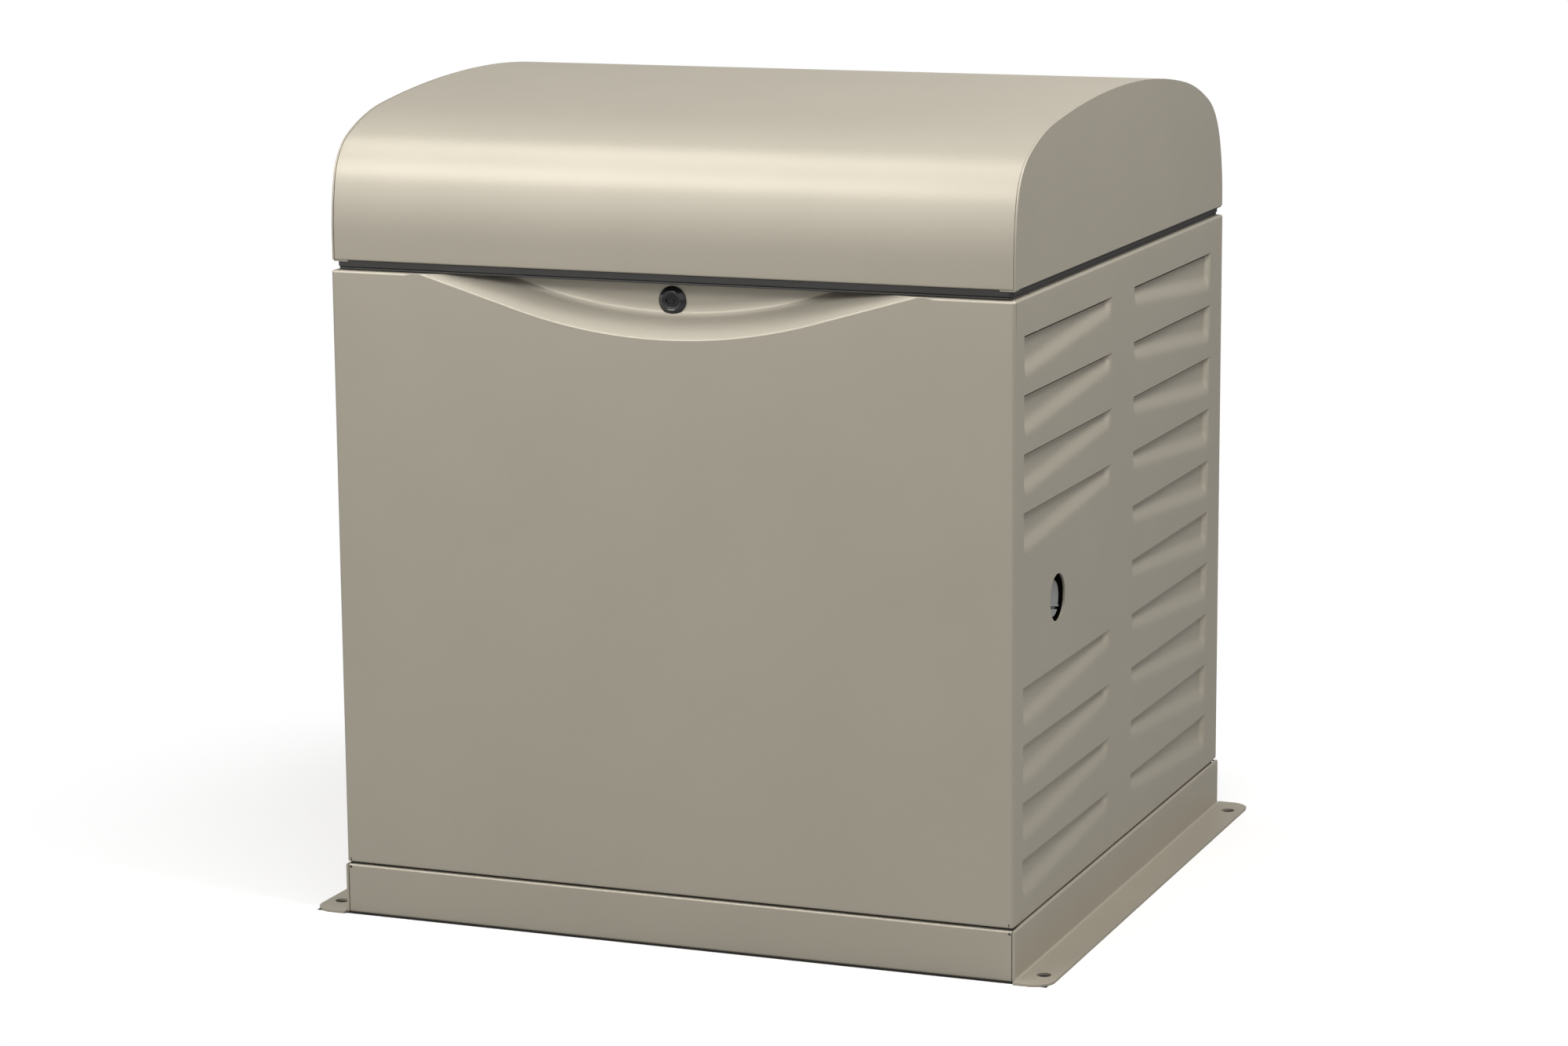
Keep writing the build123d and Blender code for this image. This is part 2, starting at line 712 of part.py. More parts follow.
def gas_mixer():
    """Mixer and throttle body with the gas inlet stub."""
    body = rod((mixer_x, 0, mixer_bottom), (mixer_x, 0, tray_bottom), 26)
    body += rod((mixer_x, 0, 474), (112, 0, 474), 12)
    return body - rod((mixer_x, 0, mixer_bottom - 1), (mixer_x, 0, tray_bottom + 1), throat_r)


def cleaner_slab(inset, low, high):
    """Rounded slab of the air cleaner, set in from its outline."""
    outline = RectangleRounded(cleaner_length - 2 * inset, cleaner_width - 2 * inset, 20 - inset)
    return slab(Pos(mixer_x, 0) * outline, low, high)


def air_cleaner_base():
    """Tray of the air cleaner."""
    tray = cleaner_slab(0, tray_bottom, tray_top)
    tray -= cleaner_slab(cleaner_wall, tray_bottom + cleaner_wall, tray_top + 1)
    return tray - rod((mixer_x, 0, tray_bottom - 1), (mixer_x, 0, tray_bottom + 4), throat_r)


def air_cleaner_cover():
    """Domed cover with two knobs."""
    cover = cleaner_slab(0, tray_top, cleaner_top)
    cover = fillet(cover.edges().group_by(Axis.Z)[-1], 14)
    cover -= cleaner_slab(cleaner_wall, tray_top - 1, cleaner_top - 18)
    for y in (-60, 60):
        cover += rod((mixer_x, y, cleaner_top - 2), (mixer_x, y, cleaner_top + 14), 12)
    return cover


def exhaust_pipes():
    """Pipe of the rear head and the long pipe of the front head under the adapter."""
    rear = ((85, 185.3, 329.5), (85, 212, 302.8), (85, muffler_y, 264), (85, muffler_y, 214))
    front = ((60, -185.3, 329.5), (60, -212, 302.8), (45, -228, 255), (-35, -205, 160),
             (-35, -150, 103), (-35, 100, 103), (-35, 140, 125), (-35, 165, 125))
    return group([tube_along(rear, 22, pipe_r, pipe_bore), tube_along(front, 28, pipe_r, pipe_bore)])


def muffler():
    """Shell with two inlets, a tail pipe to the rear panel and two feet."""
    start, end, shell_r, wall = -120, 150, 58, 3
    socket_r = pipe_r + 2
    shell = rod((start, muffler_y, muffler_z), (end, muffler_y, muffler_z), shell_r)
    shell = fillet(shell.edges(), 6)
    for x in (-110, 60):
        shell += block(x, x + 20, muffler_y - 30, muffler_y + 30, floor_top - 0.1, 110)
    shell += rod((85, muffler_y, 190), (85, muffler_y, 214), socket_r)
    shell += rod((-35, 210, 125), (-35, 165, 125), socket_r)
    shell += rod((exhaust_x, 270, exhaust_z), (exhaust_x, 347.5, exhaust_z), 20)
    shell -= rod((start + wall, muffler_y, muffler_z), (end - wall, muffler_y, muffler_z), shell_r - wall)
    shell -= rod((85, muffler_y, 185), (85, muffler_y, 215), pipe_bore)
    shell -= rod((-35, 215, 125), (-35, 160, 125), pipe_bore)
    return shell - rod((exhaust_x, 260, exhaust_z), (exhaust_x, 348, exhaust_z), 17)


def spark_plugs():
    """Plug with its boot at each head."""
    from_shaft = 212 / math.sqrt(2)
    plugs = []
    for name, side in (("front", -1), ("rear", 1)):
        x = cylinder_x[name] - 52
        y, z = side * from_shaft, shaft_z + from_shaft
        plugs.append(rod((x, y, z), (x - 12, y, z), 6) + rod((x - 12, y, z), (x - 34, y, z), 9))
    return group(plugs)


# ---------------------------------------------------------------- alternator


def engine_adapter():
    """Cast ring between the crankcase and the alternator, with air windows."""
    windows = 6
    adapter = ring((stator_end, 0, shaft_z), (case_start, 0, shaft_z), 95, 86)
    for step in range(windows):
        window = block(-58, -16, 70, 110, -20, 20)
        adapter -= Pos(0, 0, shaft_z) * Rot(360 / windows * step + 30, 0, 0) * window
    return adapter


def stator():
    """Laminated stator in its housing, on a foot."""
    frame = rod((stator_start, 0, shaft_z), (stator_end, 0, shaft_z), stator_r)
    frame += block(-215, -165, -125, 125, pad_top, stator_foot_top)
    frame += block(-200, -180, -55, 55, stator_foot_top - 2, 140)
    frame -= rod((stator_start - 1, 0, shaft_z), (stator_end + 1, 0, shaft_z), 66)
    for y in (-foot_y, foot_y):
        frame -= rod((stator_foot_x, y, 80), (stator_foot_x, y, stator_foot_top + 3), bolt_r + 0.3)
    return frame


def rotor():
    """Four-pole rotor on its own shaft."""
    poles, core_r = 4, 64
    core = rod((-215, 0, shaft_z), (-85, 0, shaft_z), core_r)
    for step in range(poles):
        slot = block(-216, -84, 44, 70, -7, 7)
        core -= Pos(0, 0, shaft_z) * Rot(360 / poles * step + 45, 0, 0) * slot
    return core + rod((-258, 0, shaft_z), (-62, 0, shaft_z), rotor_shaft_r)


def end_bell():
    """End cover with the rear bearing seat and air windows."""
    windows, end = 6, -262
    bell = rod((end, 0, shaft_z), (stator_start, 0, shaft_z), stator_r)
    bell = fillet(bell.edges().group_by(Axis.X)[0], 8)
    bell -= ring((end + 7, 0, shaft_z), (stator_start + 1, 0, shaft_z), 91, 26)
    bell -= rod((end + 17, 0, shaft_z), (stator_start + 1, 0, shaft_z), 27)
    bell -= rod((end + 3, 0, shaft_z), (stator_start + 1, 0, shaft_z), rotor_shaft_r + running_gap)
    for step in range(windows):
        window = block(end - 1, end + 12, 42, 80, -12, 12)
        bell -= Pos(0, 0, shaft_z) * Rot(360 / windows * step, 0, 0) * window
    return bell


# ---------------------------------------------------------------- mounting


def cross_rails():
    """Two hat rails across the floor under the feet."""
    half, rear = 25, 300
    inner = half - rail_gauge
    rails = []
    for x, front in ((engine_foot_x, -300), (stator_foot_x, -170)):
        rail = block(x - half, x + half, front, rear, floor_top - 0.1, rail_top)
        rails.append(rail - block(x - inner, x + inner, front - 1, rear + 1, floor_top - 1,
                                  rail_top - rail_gauge))
    return group(rails)


def vibration_mounts():
    """Rubber isolators between the rails and the feet."""
    mounts = []
    for x in (engine_foot_x, stator_foot_x):
        for y in (-foot_y, foot_y):
            pad = rod((x, y, rail_top), (x, y, pad_top), 18)
            mounts.append(pad - rod((x, y, rail_top + 2), (x, y, pad_top + 1), bolt_r + 0.2))
    return group(mounts)


def mount_bolts():
    """Hex bolts through the feet into the isolators."""
    bolts = []
    for x, top in ((engine_foot_x, engine_foot_top), (stator_foot_x, stator_foot_top)):
        for y in (-foot_y, foot_y):
            head = Pos(x, y, top) * extrude(RegularPolygon(7.5, 6), 5.5)
            bolts.append(head + rod((x, y, rail_top + 2), (x, y, top), bolt_r))
    return group(bolts)


# ---------------------------------------------------------------- gas train


def gas_inlet():
    """Shut-off valve body whose round nose stands behind the hole in the cabinet."""
    nose_start, nose_end, nose_r, throat = 322, 346, 19.5, 12.1
    body = rod((268, gas_y, gas_z), (nose_start + 3, gas_y, gas_z), 15)
    nose = rod((nose_start, gas_y, gas_z), (nose_end, gas_y, gas_z), nose_r)
    body += chamfer(nose.edges().group_by(Axis.X)[-1], 1.5)
    body += rod((lever_x, gas_y, gas_z), (lever_x, gas_y - 22, gas_z), 9)
    return body - rod((nose_start + 4, gas_y, gas_z), (nose_end + 1, gas_y, gas_z), throat)


def gas_lever():
    """Quarter-turn handle."""
    hub = rod((lever_x, gas_y - 22, gas_z), (lever_x, gas_y - 28, gas_z), 8)
    return hub + block(lever_x - 41, lever_x, gas_y - 27, gas_y - 24, gas_z - 5, gas_z + 5)


def gas_regulator():
    """Round diaphragm housing with clamped rim, outlet stub and foot bracket."""
    rim_start, rim_end, bracket_half = 229, 235, 20
    case = rod((214, gas_y, gas_z), (250, gas_y, gas_z), 44)
    case = fillet(case.edges(), 6)
    case += rod((rim_start, gas_y, gas_z), (rim_end, gas_y, gas_z), 50)
    case += rod((243, gas_y, gas_z), (268, gas_y, gas_z), 18)
    case += rod((200, gas_y, gas_z), (218, gas_y, gas_z), 8)
    bracket = block(rim_start, rim_end, gas_y - bracket_half, gas_y + bracket_half,
                    floor_top - 0.1, gas_z - 40)
    foot = block(218, 258, gas_y - bracket_half, gas_y + bracket_half, floor_top - 0.1, 51)
    return case + bracket + foot


def bend_radii(points):
    """As large an arc at each corner as its two runs allow."""
    radii = []
    for before, here, after in zip(points, points[1:], points[2:]):
        run_in = Vector(*here) - Vector(*before)
        run_out = Vector(*after) - Vector(*here)
        turn = math.radians(run_in.get_angle(run_out))
        radii.append(0.45 * min(run_in.length, run_out.length) / math.tan(turn / 2))
    return radii


def gas_hose():
    """Hose from the regulator to the mixer."""
    path = ((200, gas_y, gas_z), (165, gas_y, gas_z), (150, -205, 395), (150, -150, 442),
            (158, -80, 470), (166, -25, 476), (145, 0, 474), (112, 0, 474))
    return tube_along(path, bend_radii(path), 9)


# ---------------------------------------------------------------- electrical


def control_box():
    """Sheet box on two legs with cut-outs on top for the controls."""
    left, right, front, back, low, top = -322, -110, -300, -180, 440, control_top
    box = block(left, right, front, back, low, top)
    box -= block(left + sheet, right - sheet, front + sheet, back - sheet, low + sheet, top - sheet)
    for x in (left, right - 30):
        box += block(x, x + 30, back - 4, back, floor_top - 0.1, low + sheet)
    for window in ((-300, -230, -282, -242), (-211, -189, -277, -263), (-162, -128, -280, -220)):
        box -= block(*window, top - 3, top + 1)
    for x in button_x:
        box -= rod((x, button_y, top - 3), (x, button_y, top + 1), 6)
    for y in (-279, -263):
        ear = block(switch_x - 6, switch_x + 6, y, y + 2, top - 10, top - sheet)
        box += ear - rod((switch_x, y - 1, top - switch_drop), (switch_x, y + 3, top - switch_drop),
                         switch_pin_r + running_gap)
    return box


def control_display():
    """Window of the controller."""
    lens = block(-299.8, -230.2, -281.8, -242.2, control_top - 6, control_top + 1.5)
    return fillet(lens.edges().group_by(Axis.Z)[-1], 1)


def button(x):
    """Push button with a collar under the panel."""
    collar_top = control_top - 8
    cap = rod((x, button_y, collar_top), (x, button_y, control_top + 3.5), 5.5)
    cap = fillet(cap.edges().group_by(Axis.Z)[-1], 1)
    return cap + rod((x, button_y, collar_top - 4), (x, button_y, collar_top), 8)


def mode_switch():
    """Rocker on a pin below the panel."""
    axis_z = control_top - switch_drop
    rocker = block(switch_x - 10, switch_x + 10, -276, -264, control_top - 9, control_top + 2)
    rocker = fillet(rocker.edges().group_by(Axis.Z)[-1].filter_by(Axis.Y), 1.5)
    return rocker + rod((switch_x, -279, axis_z), (switch_x, -261, axis_z), switch_pin_r)


def breaker_body():
    """Two-pole line breaker under the panel."""
    body = block(-161.5, -128.5, breaker_y - 29.5, breaker_y + 29.5, control_top - 60, control_top + 2)
    return body - block(-154, -136, breaker_y - 14, breaker_y + 14, control_top - 16, control_top + 3)


def breaker_toggle():
    """Toggle handle, thrown off towards the front."""
    axis_z = control_top - 7
    barrel = rod((-153.5, breaker_y, axis_z), (-136.5, breaker_y, axis_z), 7)
    return barrel + block(-150, -140, breaker_y - 3, breaker_y + 3, control_top - 4, control_top + 14)


def battery():
    """Starting battery with its two posts."""
    case = block(-317, -127, -322, -192, battery_bottom, battery_top)
    case = fillet(case.edges().filter_by(Axis.Z), 6)
    for x in post_x:
        case += rod((x, post_y, battery_top), (x, post_y, battery_top + 14), 7)
    return case


def battery_tray():
    """Tray with a low lip."""
    wall = 1.8
    left, right, front, back, lip = -323, -121, -328, -187, 66
    tray = block(left, right, front, back, floor_top - 0.1, lip)
    return tray - block(left + wall, right - wall, front + wall, back - wall, battery_bottom, lip + 1)


def battery_strap():
    """Hold-down over the battery."""
    left, right, front, back, gauge = -321, -123, -285, -265, 3.5
    strap = block(left, right, front, back, battery_top, battery_top + 3)
    for x in (left, right - gauge):
        strap += block(x, x + gauge, front, back, battery_bottom, battery_top + 1)
    return strap


def battery_cables():
    """Positive lead to the starter and negative lead to the crankcase."""
    lug = battery_top + 18
    negative_post, positive_post = post_x
    positive = ((positive_post, post_y, lug), (-105, -215, 272), (-60, -180, 262), (-5, -165, 225),
                (35, -152, 200), (67.0, starter_y, starter_z + 40))
    negative = ((negative_post, post_y, lug), (-230, -207, 275), (-150, -203, 288), (-95, -198, 288),
                (-50, -145, 266), (-32, -107, 236), (-5.2, -107, 236))
    return group([tube_along(path, bend_radii(path), 4) for path in (positive, negative)])


# ---------------------------------------------------------------- write the nodes

os.makedirs("parts", exist_ok=True)
nodes = {
    "base_rail_left": base_rail(-1),
    "base_rail_right": base_rail(1),
    "base_skirts": group([base_skirt(-1), base_skirt(1)]),
    "base_floor": base_floor(),
    "base_gasket": base_gasket(),
    "body_shell": body_shell(),
    "rear_panel": rear_panel(),
    "enclosure_screws": enclosure_screws(),
    "lid_skin": lid_skin(),
    "lid_end_left": lid_end(-1),
    "lid_end_right": lid_end(1),
    "lid_gasket": lid_gasket(),
    "lid_striker": lid_striker(),
    "lid_prop": lid_prop(),
    "hinge_body_leaves": hinge_leaves(False),
    "hinge_lid_leaves": hinge_leaves(True),
    "hinge_pins": hinge_pins(),
    "lock_housing": lock_housing(),
    "lock_plug": lock_plug(),
    "lock_cam": lock_cam(),
    "crankcase": crankcase(),
    "cylinder_front": cylinder("front"),
    "cylinder_rear": cylinder("rear"),
    "valve_covers": valve_covers(),
    "filler_cap": filler_cap(),
    "dipstick": dipstick(),
    "crankshaft": crankshaft(),
    "flywheel": flywheel(),
    "blower_housing": blower_housing(),
    "oil_filter": oil_filter(),
    "starter_motor": starter_motor(),
    "intake_manifold": intake_manifold(),
    "gas_mixer": gas_mixer(),
    "air_cleaner_base": air_cleaner_base(),
    "air_cleaner_cover": air_cleaner_cover(),
    "exhaust_pipes": exhaust_pipes(),
    "muffler": muffler(),
    "spark_plugs": spark_plugs(),
    "engine_adapter": engine_adapter(),
    "stator": stator(),
    "rotor": rotor(),
    "end_bell": end_bell(),
    "cross_rails": cross_rails(),
    "vibration_mounts": vibration_mounts(),
    "mount_bolts": mount_bolts(),
    "gas_inlet": gas_inlet(),
    "gas_lever": gas_lever(),
    "gas_regulator": gas_regulator(),
    "gas_hose": gas_hose(),
    "control_box": control_box(),
    "control_display": control_display(),
    "button_up": button(-287),
    "button_down": button(-243),
    "mode_switch": mode_switch(),
    "breaker_body": breaker_body(),
    "breaker_toggle": breaker_toggle(),
    "battery": battery(),
    "battery_tray": battery_tray(),
    "battery_strap": battery_strap(),
    "battery_cables": battery_cables(),
}
for name, shape in nodes.items():
    save(name, shape)
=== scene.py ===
import json
import math

import bmesh
import bpy
from mathutils import Matrix, Vector


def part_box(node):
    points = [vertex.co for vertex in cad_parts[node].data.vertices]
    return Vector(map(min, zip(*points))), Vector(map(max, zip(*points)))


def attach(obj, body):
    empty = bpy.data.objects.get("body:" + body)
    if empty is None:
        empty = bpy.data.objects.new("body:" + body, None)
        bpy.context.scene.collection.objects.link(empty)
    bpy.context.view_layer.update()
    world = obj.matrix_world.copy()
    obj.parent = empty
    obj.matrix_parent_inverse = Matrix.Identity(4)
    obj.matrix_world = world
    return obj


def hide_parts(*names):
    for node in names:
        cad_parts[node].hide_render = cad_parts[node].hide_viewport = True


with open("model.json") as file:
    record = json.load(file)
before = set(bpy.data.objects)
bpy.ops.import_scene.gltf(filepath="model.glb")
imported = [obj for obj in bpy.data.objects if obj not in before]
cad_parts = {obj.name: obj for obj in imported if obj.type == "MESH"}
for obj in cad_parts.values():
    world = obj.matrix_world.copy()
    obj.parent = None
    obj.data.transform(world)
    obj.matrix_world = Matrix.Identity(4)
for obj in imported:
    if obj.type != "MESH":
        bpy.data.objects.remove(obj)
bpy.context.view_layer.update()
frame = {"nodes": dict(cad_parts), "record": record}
scene = bpy.context.scene
scene.view_settings.view_transform = "Standard"

# ---------------------------------------------------------------- sizes, in metres

body_low, body_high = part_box("body_shell")
lid_low, lid_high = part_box("lid_end_right")
skin_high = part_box("lid_skin")[1]
SHEET = 0.002
BEND = 0.003
TOP_BEND = 0.0026
BOTTOM_BEND = 0.0015
FRONT_FLANGE = 0.050
SIDE_FLANGE = 0.020
BOTTOM_FLANGE = 0.018
RETURN = 0.020
CORNER_SLIT = 0.011
SLIT = 0.0008
RELIEF_WIDE = 0.0010
RELIEF_FRONT, RELIEF_SIDE = 0.0042, 0.0056
RELIEF_Y = -0.3275
EDGE_ROUNDING = 0.0005
# Extra mesh lines of the sides: y beside the front and the rear bend, z near the foot and the top
SIDE_FRONT_LINE, SIDE_REAR_LINES, SIDE_Z_LINES = -0.338, (0.315, 0.330), (0.064, 0.625)

# Crescent scoop: lowest point, radius and half width of its round part, depth and slope
SCOOP_LOW = 0.5965
SCOOP_RADIUS = 0.540
SCOOP_ARC_HALF = 0.152
SCOOP_DEPTH = 0.024
SCOOP_STEEP = math.radians(46)
# Bends after the slope: (tilt in degrees where the bend ends, length along the section)
SCOOP_BENDS = ((32, 0.006), (12, 0.0015), (0, 0.008))
# Radius of the crease between the front and the slope
SCOOP_CREASE = 0.0026
# Where the scoop ends across the front, the top bend eases from the small radius to the full one
SCOOP_END, SCOOP_END_EASE, SCOOP_TOP_BEND = 0.262, 0.010, 0.0004

# Louvres: top slit, spacing, rows, press depth, height at both ends, ramp, slit height, end ramps
LOUVRE_TOP = 0.612
LOUVRE_PITCH = 0.0555
LOUVRE_ROWS = 10
LOUVRE_PRESS = 0.006
LOUVRE_TALL = 0.041
LOUVRE_SHORT = 0.019
LOUVRE_RAMP = 0.017
LOUVRE_KERF = 0.0040
LOUVRE_END = 0.004
LOUVRE_EASE = 0.006
FRONT_COLUMN = (-0.323, -0.047)
REAR_COLUMN = (0.305, 0.026)
PLAIN_ROWS = (4, 5)

GAS_Y, GAS_Z, GAS_HOLE = -0.219, 0.3455, 0.02325
# Half the side of the square field of the mesh around the gas hole
GAS_NEAR = 0.030
GAS_BAND_TILT = math.radians(12)
GAS_STUB_X, GAS_STUB_RADIUS, GAS_STUB_LENGTH = 0.295, 0.009, 0.022

SHAFT_Z = 0.215
STATOR_FOOT_X = (-0.215, -0.165)
STATOR_WEB_X = (-0.200, -0.180)
STATOR_WEB_HALF, STATOR_WEB_TOP, STATOR_FOOT_TALL = 0.055, 0.140, 0.010

# Lid profile: height where the upright part ends, then (radius, slope in degrees at the end)
LID_FRONT = (0.682, ((0.249, 77.5), (0.060, 26.2), (0.251, 8.3)))
LID_REAR = (0.665, ((0.179, 70.0), (0.084, 23.3), (0.384, 8.7)))
LID_EDGE = 0.0007
LID_FLAT_HALF, LID_CELLS = 0.340, 17
# End caps: (distance behind the face, inset) round the rim, gap beside the flange, tabs of the hem
CAP_RIM = ((SHEET, 0.0), (0.0008, 0.0), (0.0002, 0.0002), (0.0, 0.0008))
CAP_FLANGE_GAP = 0.022
TAB_REACH, TAB_LONG, TAB_DROP = 0.016, 0.012, 0.0014
CLIP_X = 0.320
CLIP_TILT = math.radians(20)


# ---------------------------------------------------------------- camera, light, floor

CAMERA_PLACE = Vector((1.569, -4.027, 1.196))
CAMERA_YAW = math.radians(-21.49)
CAMERA_PITCH = math.radians(11.01)
CAMERA_ROLL = math.radians(-0.42)
CAMERA_LENS = 98.06

WORLD_LEFT, WORLD_RIGHT = 0.88, 0.68
WORLD_BEHIND = 0.45
WORLD_FADE = (0.1, 0.8)
FLOOR_LIT, FLOOR_SEEN = 0.34, 0.90
FLOOR_SHADE_REACH = (0.56, 0.95)
FLOOR_HALF = 60
# Painted shadow under the feet: tone of the dark sheet, its inset from the rails' edge and its height above
# the floor.
PAINTED_SHADOW_TONE, PAINTED_SHADOW_INSET, PAINTED_SHADOW_RISE = 0.03, 0.003, 0.0001
# Soft boxes: (direction from the front towards +X, elevation) in degrees, size, distance, watts
SOFT_BOXES = (((-24, 31), (1.5, 0.7), 2.6, 28), ((-24, 50), (1.3, 0.7), 2.6, 2),
              ((-66, 66), (1.4, 1.0), 3.2, 24), ((84, 52), (1.2, 0.8), 2.0, 37))
LIGHT_TARGET = Vector((0, 0, 0.55))


def make_camera():
    """Camera that looks slightly down at the front and the right side, without shift."""
    forward = Vector((math.sin(CAMERA_YAW) * math.cos(CAMERA_PITCH),
                      math.cos(CAMERA_YAW) * math.cos(CAMERA_PITCH),
                      -math.sin(CAMERA_PITCH)))
    right = Vector((math.cos(CAMERA_YAW), -math.sin(CAMERA_YAW), 0))
    up = right.cross(forward)
    tilted_right = right * math.cos(CAMERA_ROLL) + up * math.sin(CAMERA_ROLL)
    tilted_up = up * math.cos(CAMERA_ROLL) - right * math.sin(CAMERA_ROLL)
    data = bpy.data.cameras.new("camera")
    data.lens = CAMERA_LENS
    data.sensor_width = 36
    data.clip_end = 100
    camera = bpy.data.objects.new("camera", data)
    scene.collection.objects.link(camera)
    turn = Matrix((tilted_right, tilted_up, -forward)).transposed()
    camera.matrix_world = Matrix.Translation(CAMERA_PLACE) @ turn.to_4x4()
    scene.camera = camera


def soft_box(angles, size, distance, power):
    """White area light that looks at the middle of the object."""
    across, up = math.radians(angles[0]), math.radians(angles[1])
    data = bpy.data.lights.new("soft_box", "AREA")
    data.shape = "RECTANGLE"
    data.size, data.size_y = size
    data.energy = power
    light = bpy.data.objects.new("soft_box", data)
    scene.collection.objects.link(light)
    way = Vector((math.sin(across) * math.cos(up), -math.cos(across) * math.cos(up), math.sin(up)))
    light.location = LIGHT_TARGET + way * distance
    light.rotation_euler = way.to_track_quat("Z", "Y").to_euler()


def make_world():
    """White surroundings, a little dimmer towards the right and dimmer again behind the object."""
    world = bpy.data.worlds.new("studio")
    scene.world = world
    world.use_nodes = True
    nodes, links = world.node_tree.nodes, world.node_tree.links
    nodes.clear()
    coords = nodes.new("ShaderNodeTexCoord")
    split = nodes.new("ShaderNodeSeparateXYZ")
    links.new(coords.outputs["Generated"], split.inputs[0])
    side = nodes.new("ShaderNodeMapRange")
    side.inputs["From Min"].default_value = -1
    side.inputs["From Max"].default_value = 1
    side.inputs["To Min"].default_value = WORLD_LEFT
    side.inputs["To Max"].default_value = WORLD_RIGHT
    links.new(split.outputs["X"], side.inputs["Value"])
    behind = nodes.new("ShaderNodeMapRange")
    behind.inputs["From Min"].default_value = WORLD_FADE[0]
    behind.inputs["From Max"].default_value = WORLD_FADE[1]
    behind.inputs["To Min"].default_value = 1.0
    behind.inputs["To Max"].default_value = WORLD_BEHIND
    links.new(split.outputs["Y"], behind.inputs["Value"])
    both = nodes.new("ShaderNodeMath")
    both.operation = "MULTIPLY"
    links.new(side.outputs["Result"], both.inputs[0])
    links.new(behind.outputs["Result"], both.inputs[1])
    lights = nodes.new("ShaderNodeBackground")
    links.new(both.outputs[0], lights.inputs["Strength"])
    seen = nodes.new("ShaderNodeBackground")
    path = nodes.new("ShaderNodeLightPath")
    mix = nodes.new("ShaderNodeMixShader")
    for background, input_index in ((lights, 1), (seen, 2)):
        background.inputs["Color"].default_value = (1, 1, 1, 1)
        links.new(background.outputs[0], mix.inputs[input_index])
    links.new(path.outputs["Is Camera Ray"], mix.inputs["Fac"])
    output = nodes.new("ShaderNodeOutputWorld")
    links.new(mix.outputs[0], output.inputs["Surface"])


def stage_plane(name, half_x, half_y, height):
    """Level plane that isn't part of the object, with an empty node material."""
    mesh = bpy.data.meshes.new(name)
    mesh.from_pydata([(-half_x, -half_y, height), (half_x, -half_y, height), (half_x, half_y, height),
                      (-half_x, half_y, height)], [], [(0, 1, 2, 3)])
    plane = bpy.data.objects.new(name, mesh)
    scene.collection.objects.link(plane)
    material = bpy.data.materials.new(name)
    material.use_nodes = True
    material.node_tree.nodes.clear()
    mesh.materials.append(material)
    return material.node_tree.nodes, material.node_tree.links


def diffuse_tone(nodes, tone):
    """Plain matt shader of one grey."""
    shader = nodes.new("ShaderNodeBsdfDiffuse")
    shader.inputs["Color"].default_value = (tone, tone, tone, 1)
    return shader


def make_floor():
    """Pale floor with a soft shadow around the object, plain white further out."""
    nodes, links = stage_plane("floor", FLOOR_HALF, FLOOR_HALF, 0)
    coords = nodes.new("ShaderNodeTexCoord")
    length = nodes.new("ShaderNodeVectorMath")
    length.operation = "LENGTH"
    links.new(coords.outputs["Object"], length.inputs[0])
    far = nodes.new("ShaderNodeMapRange")
    far.interpolation_type = "SMOOTHSTEP"
    far.inputs["From Min"].default_value = FLOOR_SHADE_REACH[0]
    far.inputs["From Max"].default_value = FLOOR_SHADE_REACH[1]
    links.new(length.outputs["Value"], far.inputs["Value"])
    white = nodes.new("ShaderNodeEmission")
    seen = nodes.new("ShaderNodeMixShader")
    links.new(far.outputs["Result"], seen.inputs["Fac"])
    links.new(diffuse_tone(nodes, FLOOR_SEEN).outputs[0], seen.inputs[1])
    links.new(white.outputs[0], seen.inputs[2])
    path = nodes.new("ShaderNodeLightPath")
    mix = nodes.new("ShaderNodeMixShader")
    links.new(path.outputs["Is Camera Ray"], mix.inputs["Fac"])
    links.new(diffuse_tone(nodes, FLOOR_LIT).outputs[0], mix.inputs[1])
    links.new(seen.outputs[0], mix.inputs[2])
    output = nodes.new("ShaderNodeOutputMaterial")
    links.new(mix.outputs[0], output.inputs["Surface"])


def make_shade():
    """Painted shadow: a dark sheet under the feet, seen only through the anchor holes, stands for the shade
    there.
    """
    rail_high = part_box("base_rail_right")[1]
    # Dark sheet standing for the shade under the base: a painted shadow, not a dark ground.
    nodes, links = stage_plane("painted_shadow_under_feet", rail_high.x - PAINTED_SHADOW_INSET,
                               rail_high.y - PAINTED_SHADOW_INSET, PAINTED_SHADOW_RISE)
    output = nodes.new("ShaderNodeOutputMaterial")
    links.new(diffuse_tone(nodes, PAINTED_SHADOW_TONE).outputs[0], output.inputs["Surface"])


make_camera()
make_world()
make_floor()
make_shade()
for box in SOFT_BOXES:
    soft_box(*box)


# ---------------------------------------------------------------- materials

def new_material(name):
    """Node material with its node tree's parts and its main shader."""
    material = bpy.data.materials.new(name)
    material.use_nodes = True
    nodes, links = material.node_tree.nodes, material.node_tree.links
    return material, nodes, links, nodes["Principled BSDF"]


def noise(nodes, links, scale, detail=3.0):
    """Noise in object coordinates, scale in cycles per metre."""
    texture = nodes.new("ShaderNodeTexNoise")
    texture.inputs["Scale"].default_value = scale
    texture.inputs["Detail"].default_value = detail
    coords = nodes.new("ShaderNodeTexCoord")
    links.new(coords.outputs["Object"], texture.inputs["Vector"])
    return texture


def ramp(nodes, links, source, low, high, from_low=0.3, from_high=0.7):
    """Colour ramp between two colours over a noise's middle range."""
    node = nodes.new("ShaderNodeValToRGB")
    node.color_ramp.elements[0].position = from_low
    node.color_ramp.elements[0].color = (*low, 1)
    node.color_ramp.elements[1].position = from_high
    node.color_ramp.elements[1].color = (*high, 1)
    links.new(source.outputs[0], node.inputs[0])
    return node


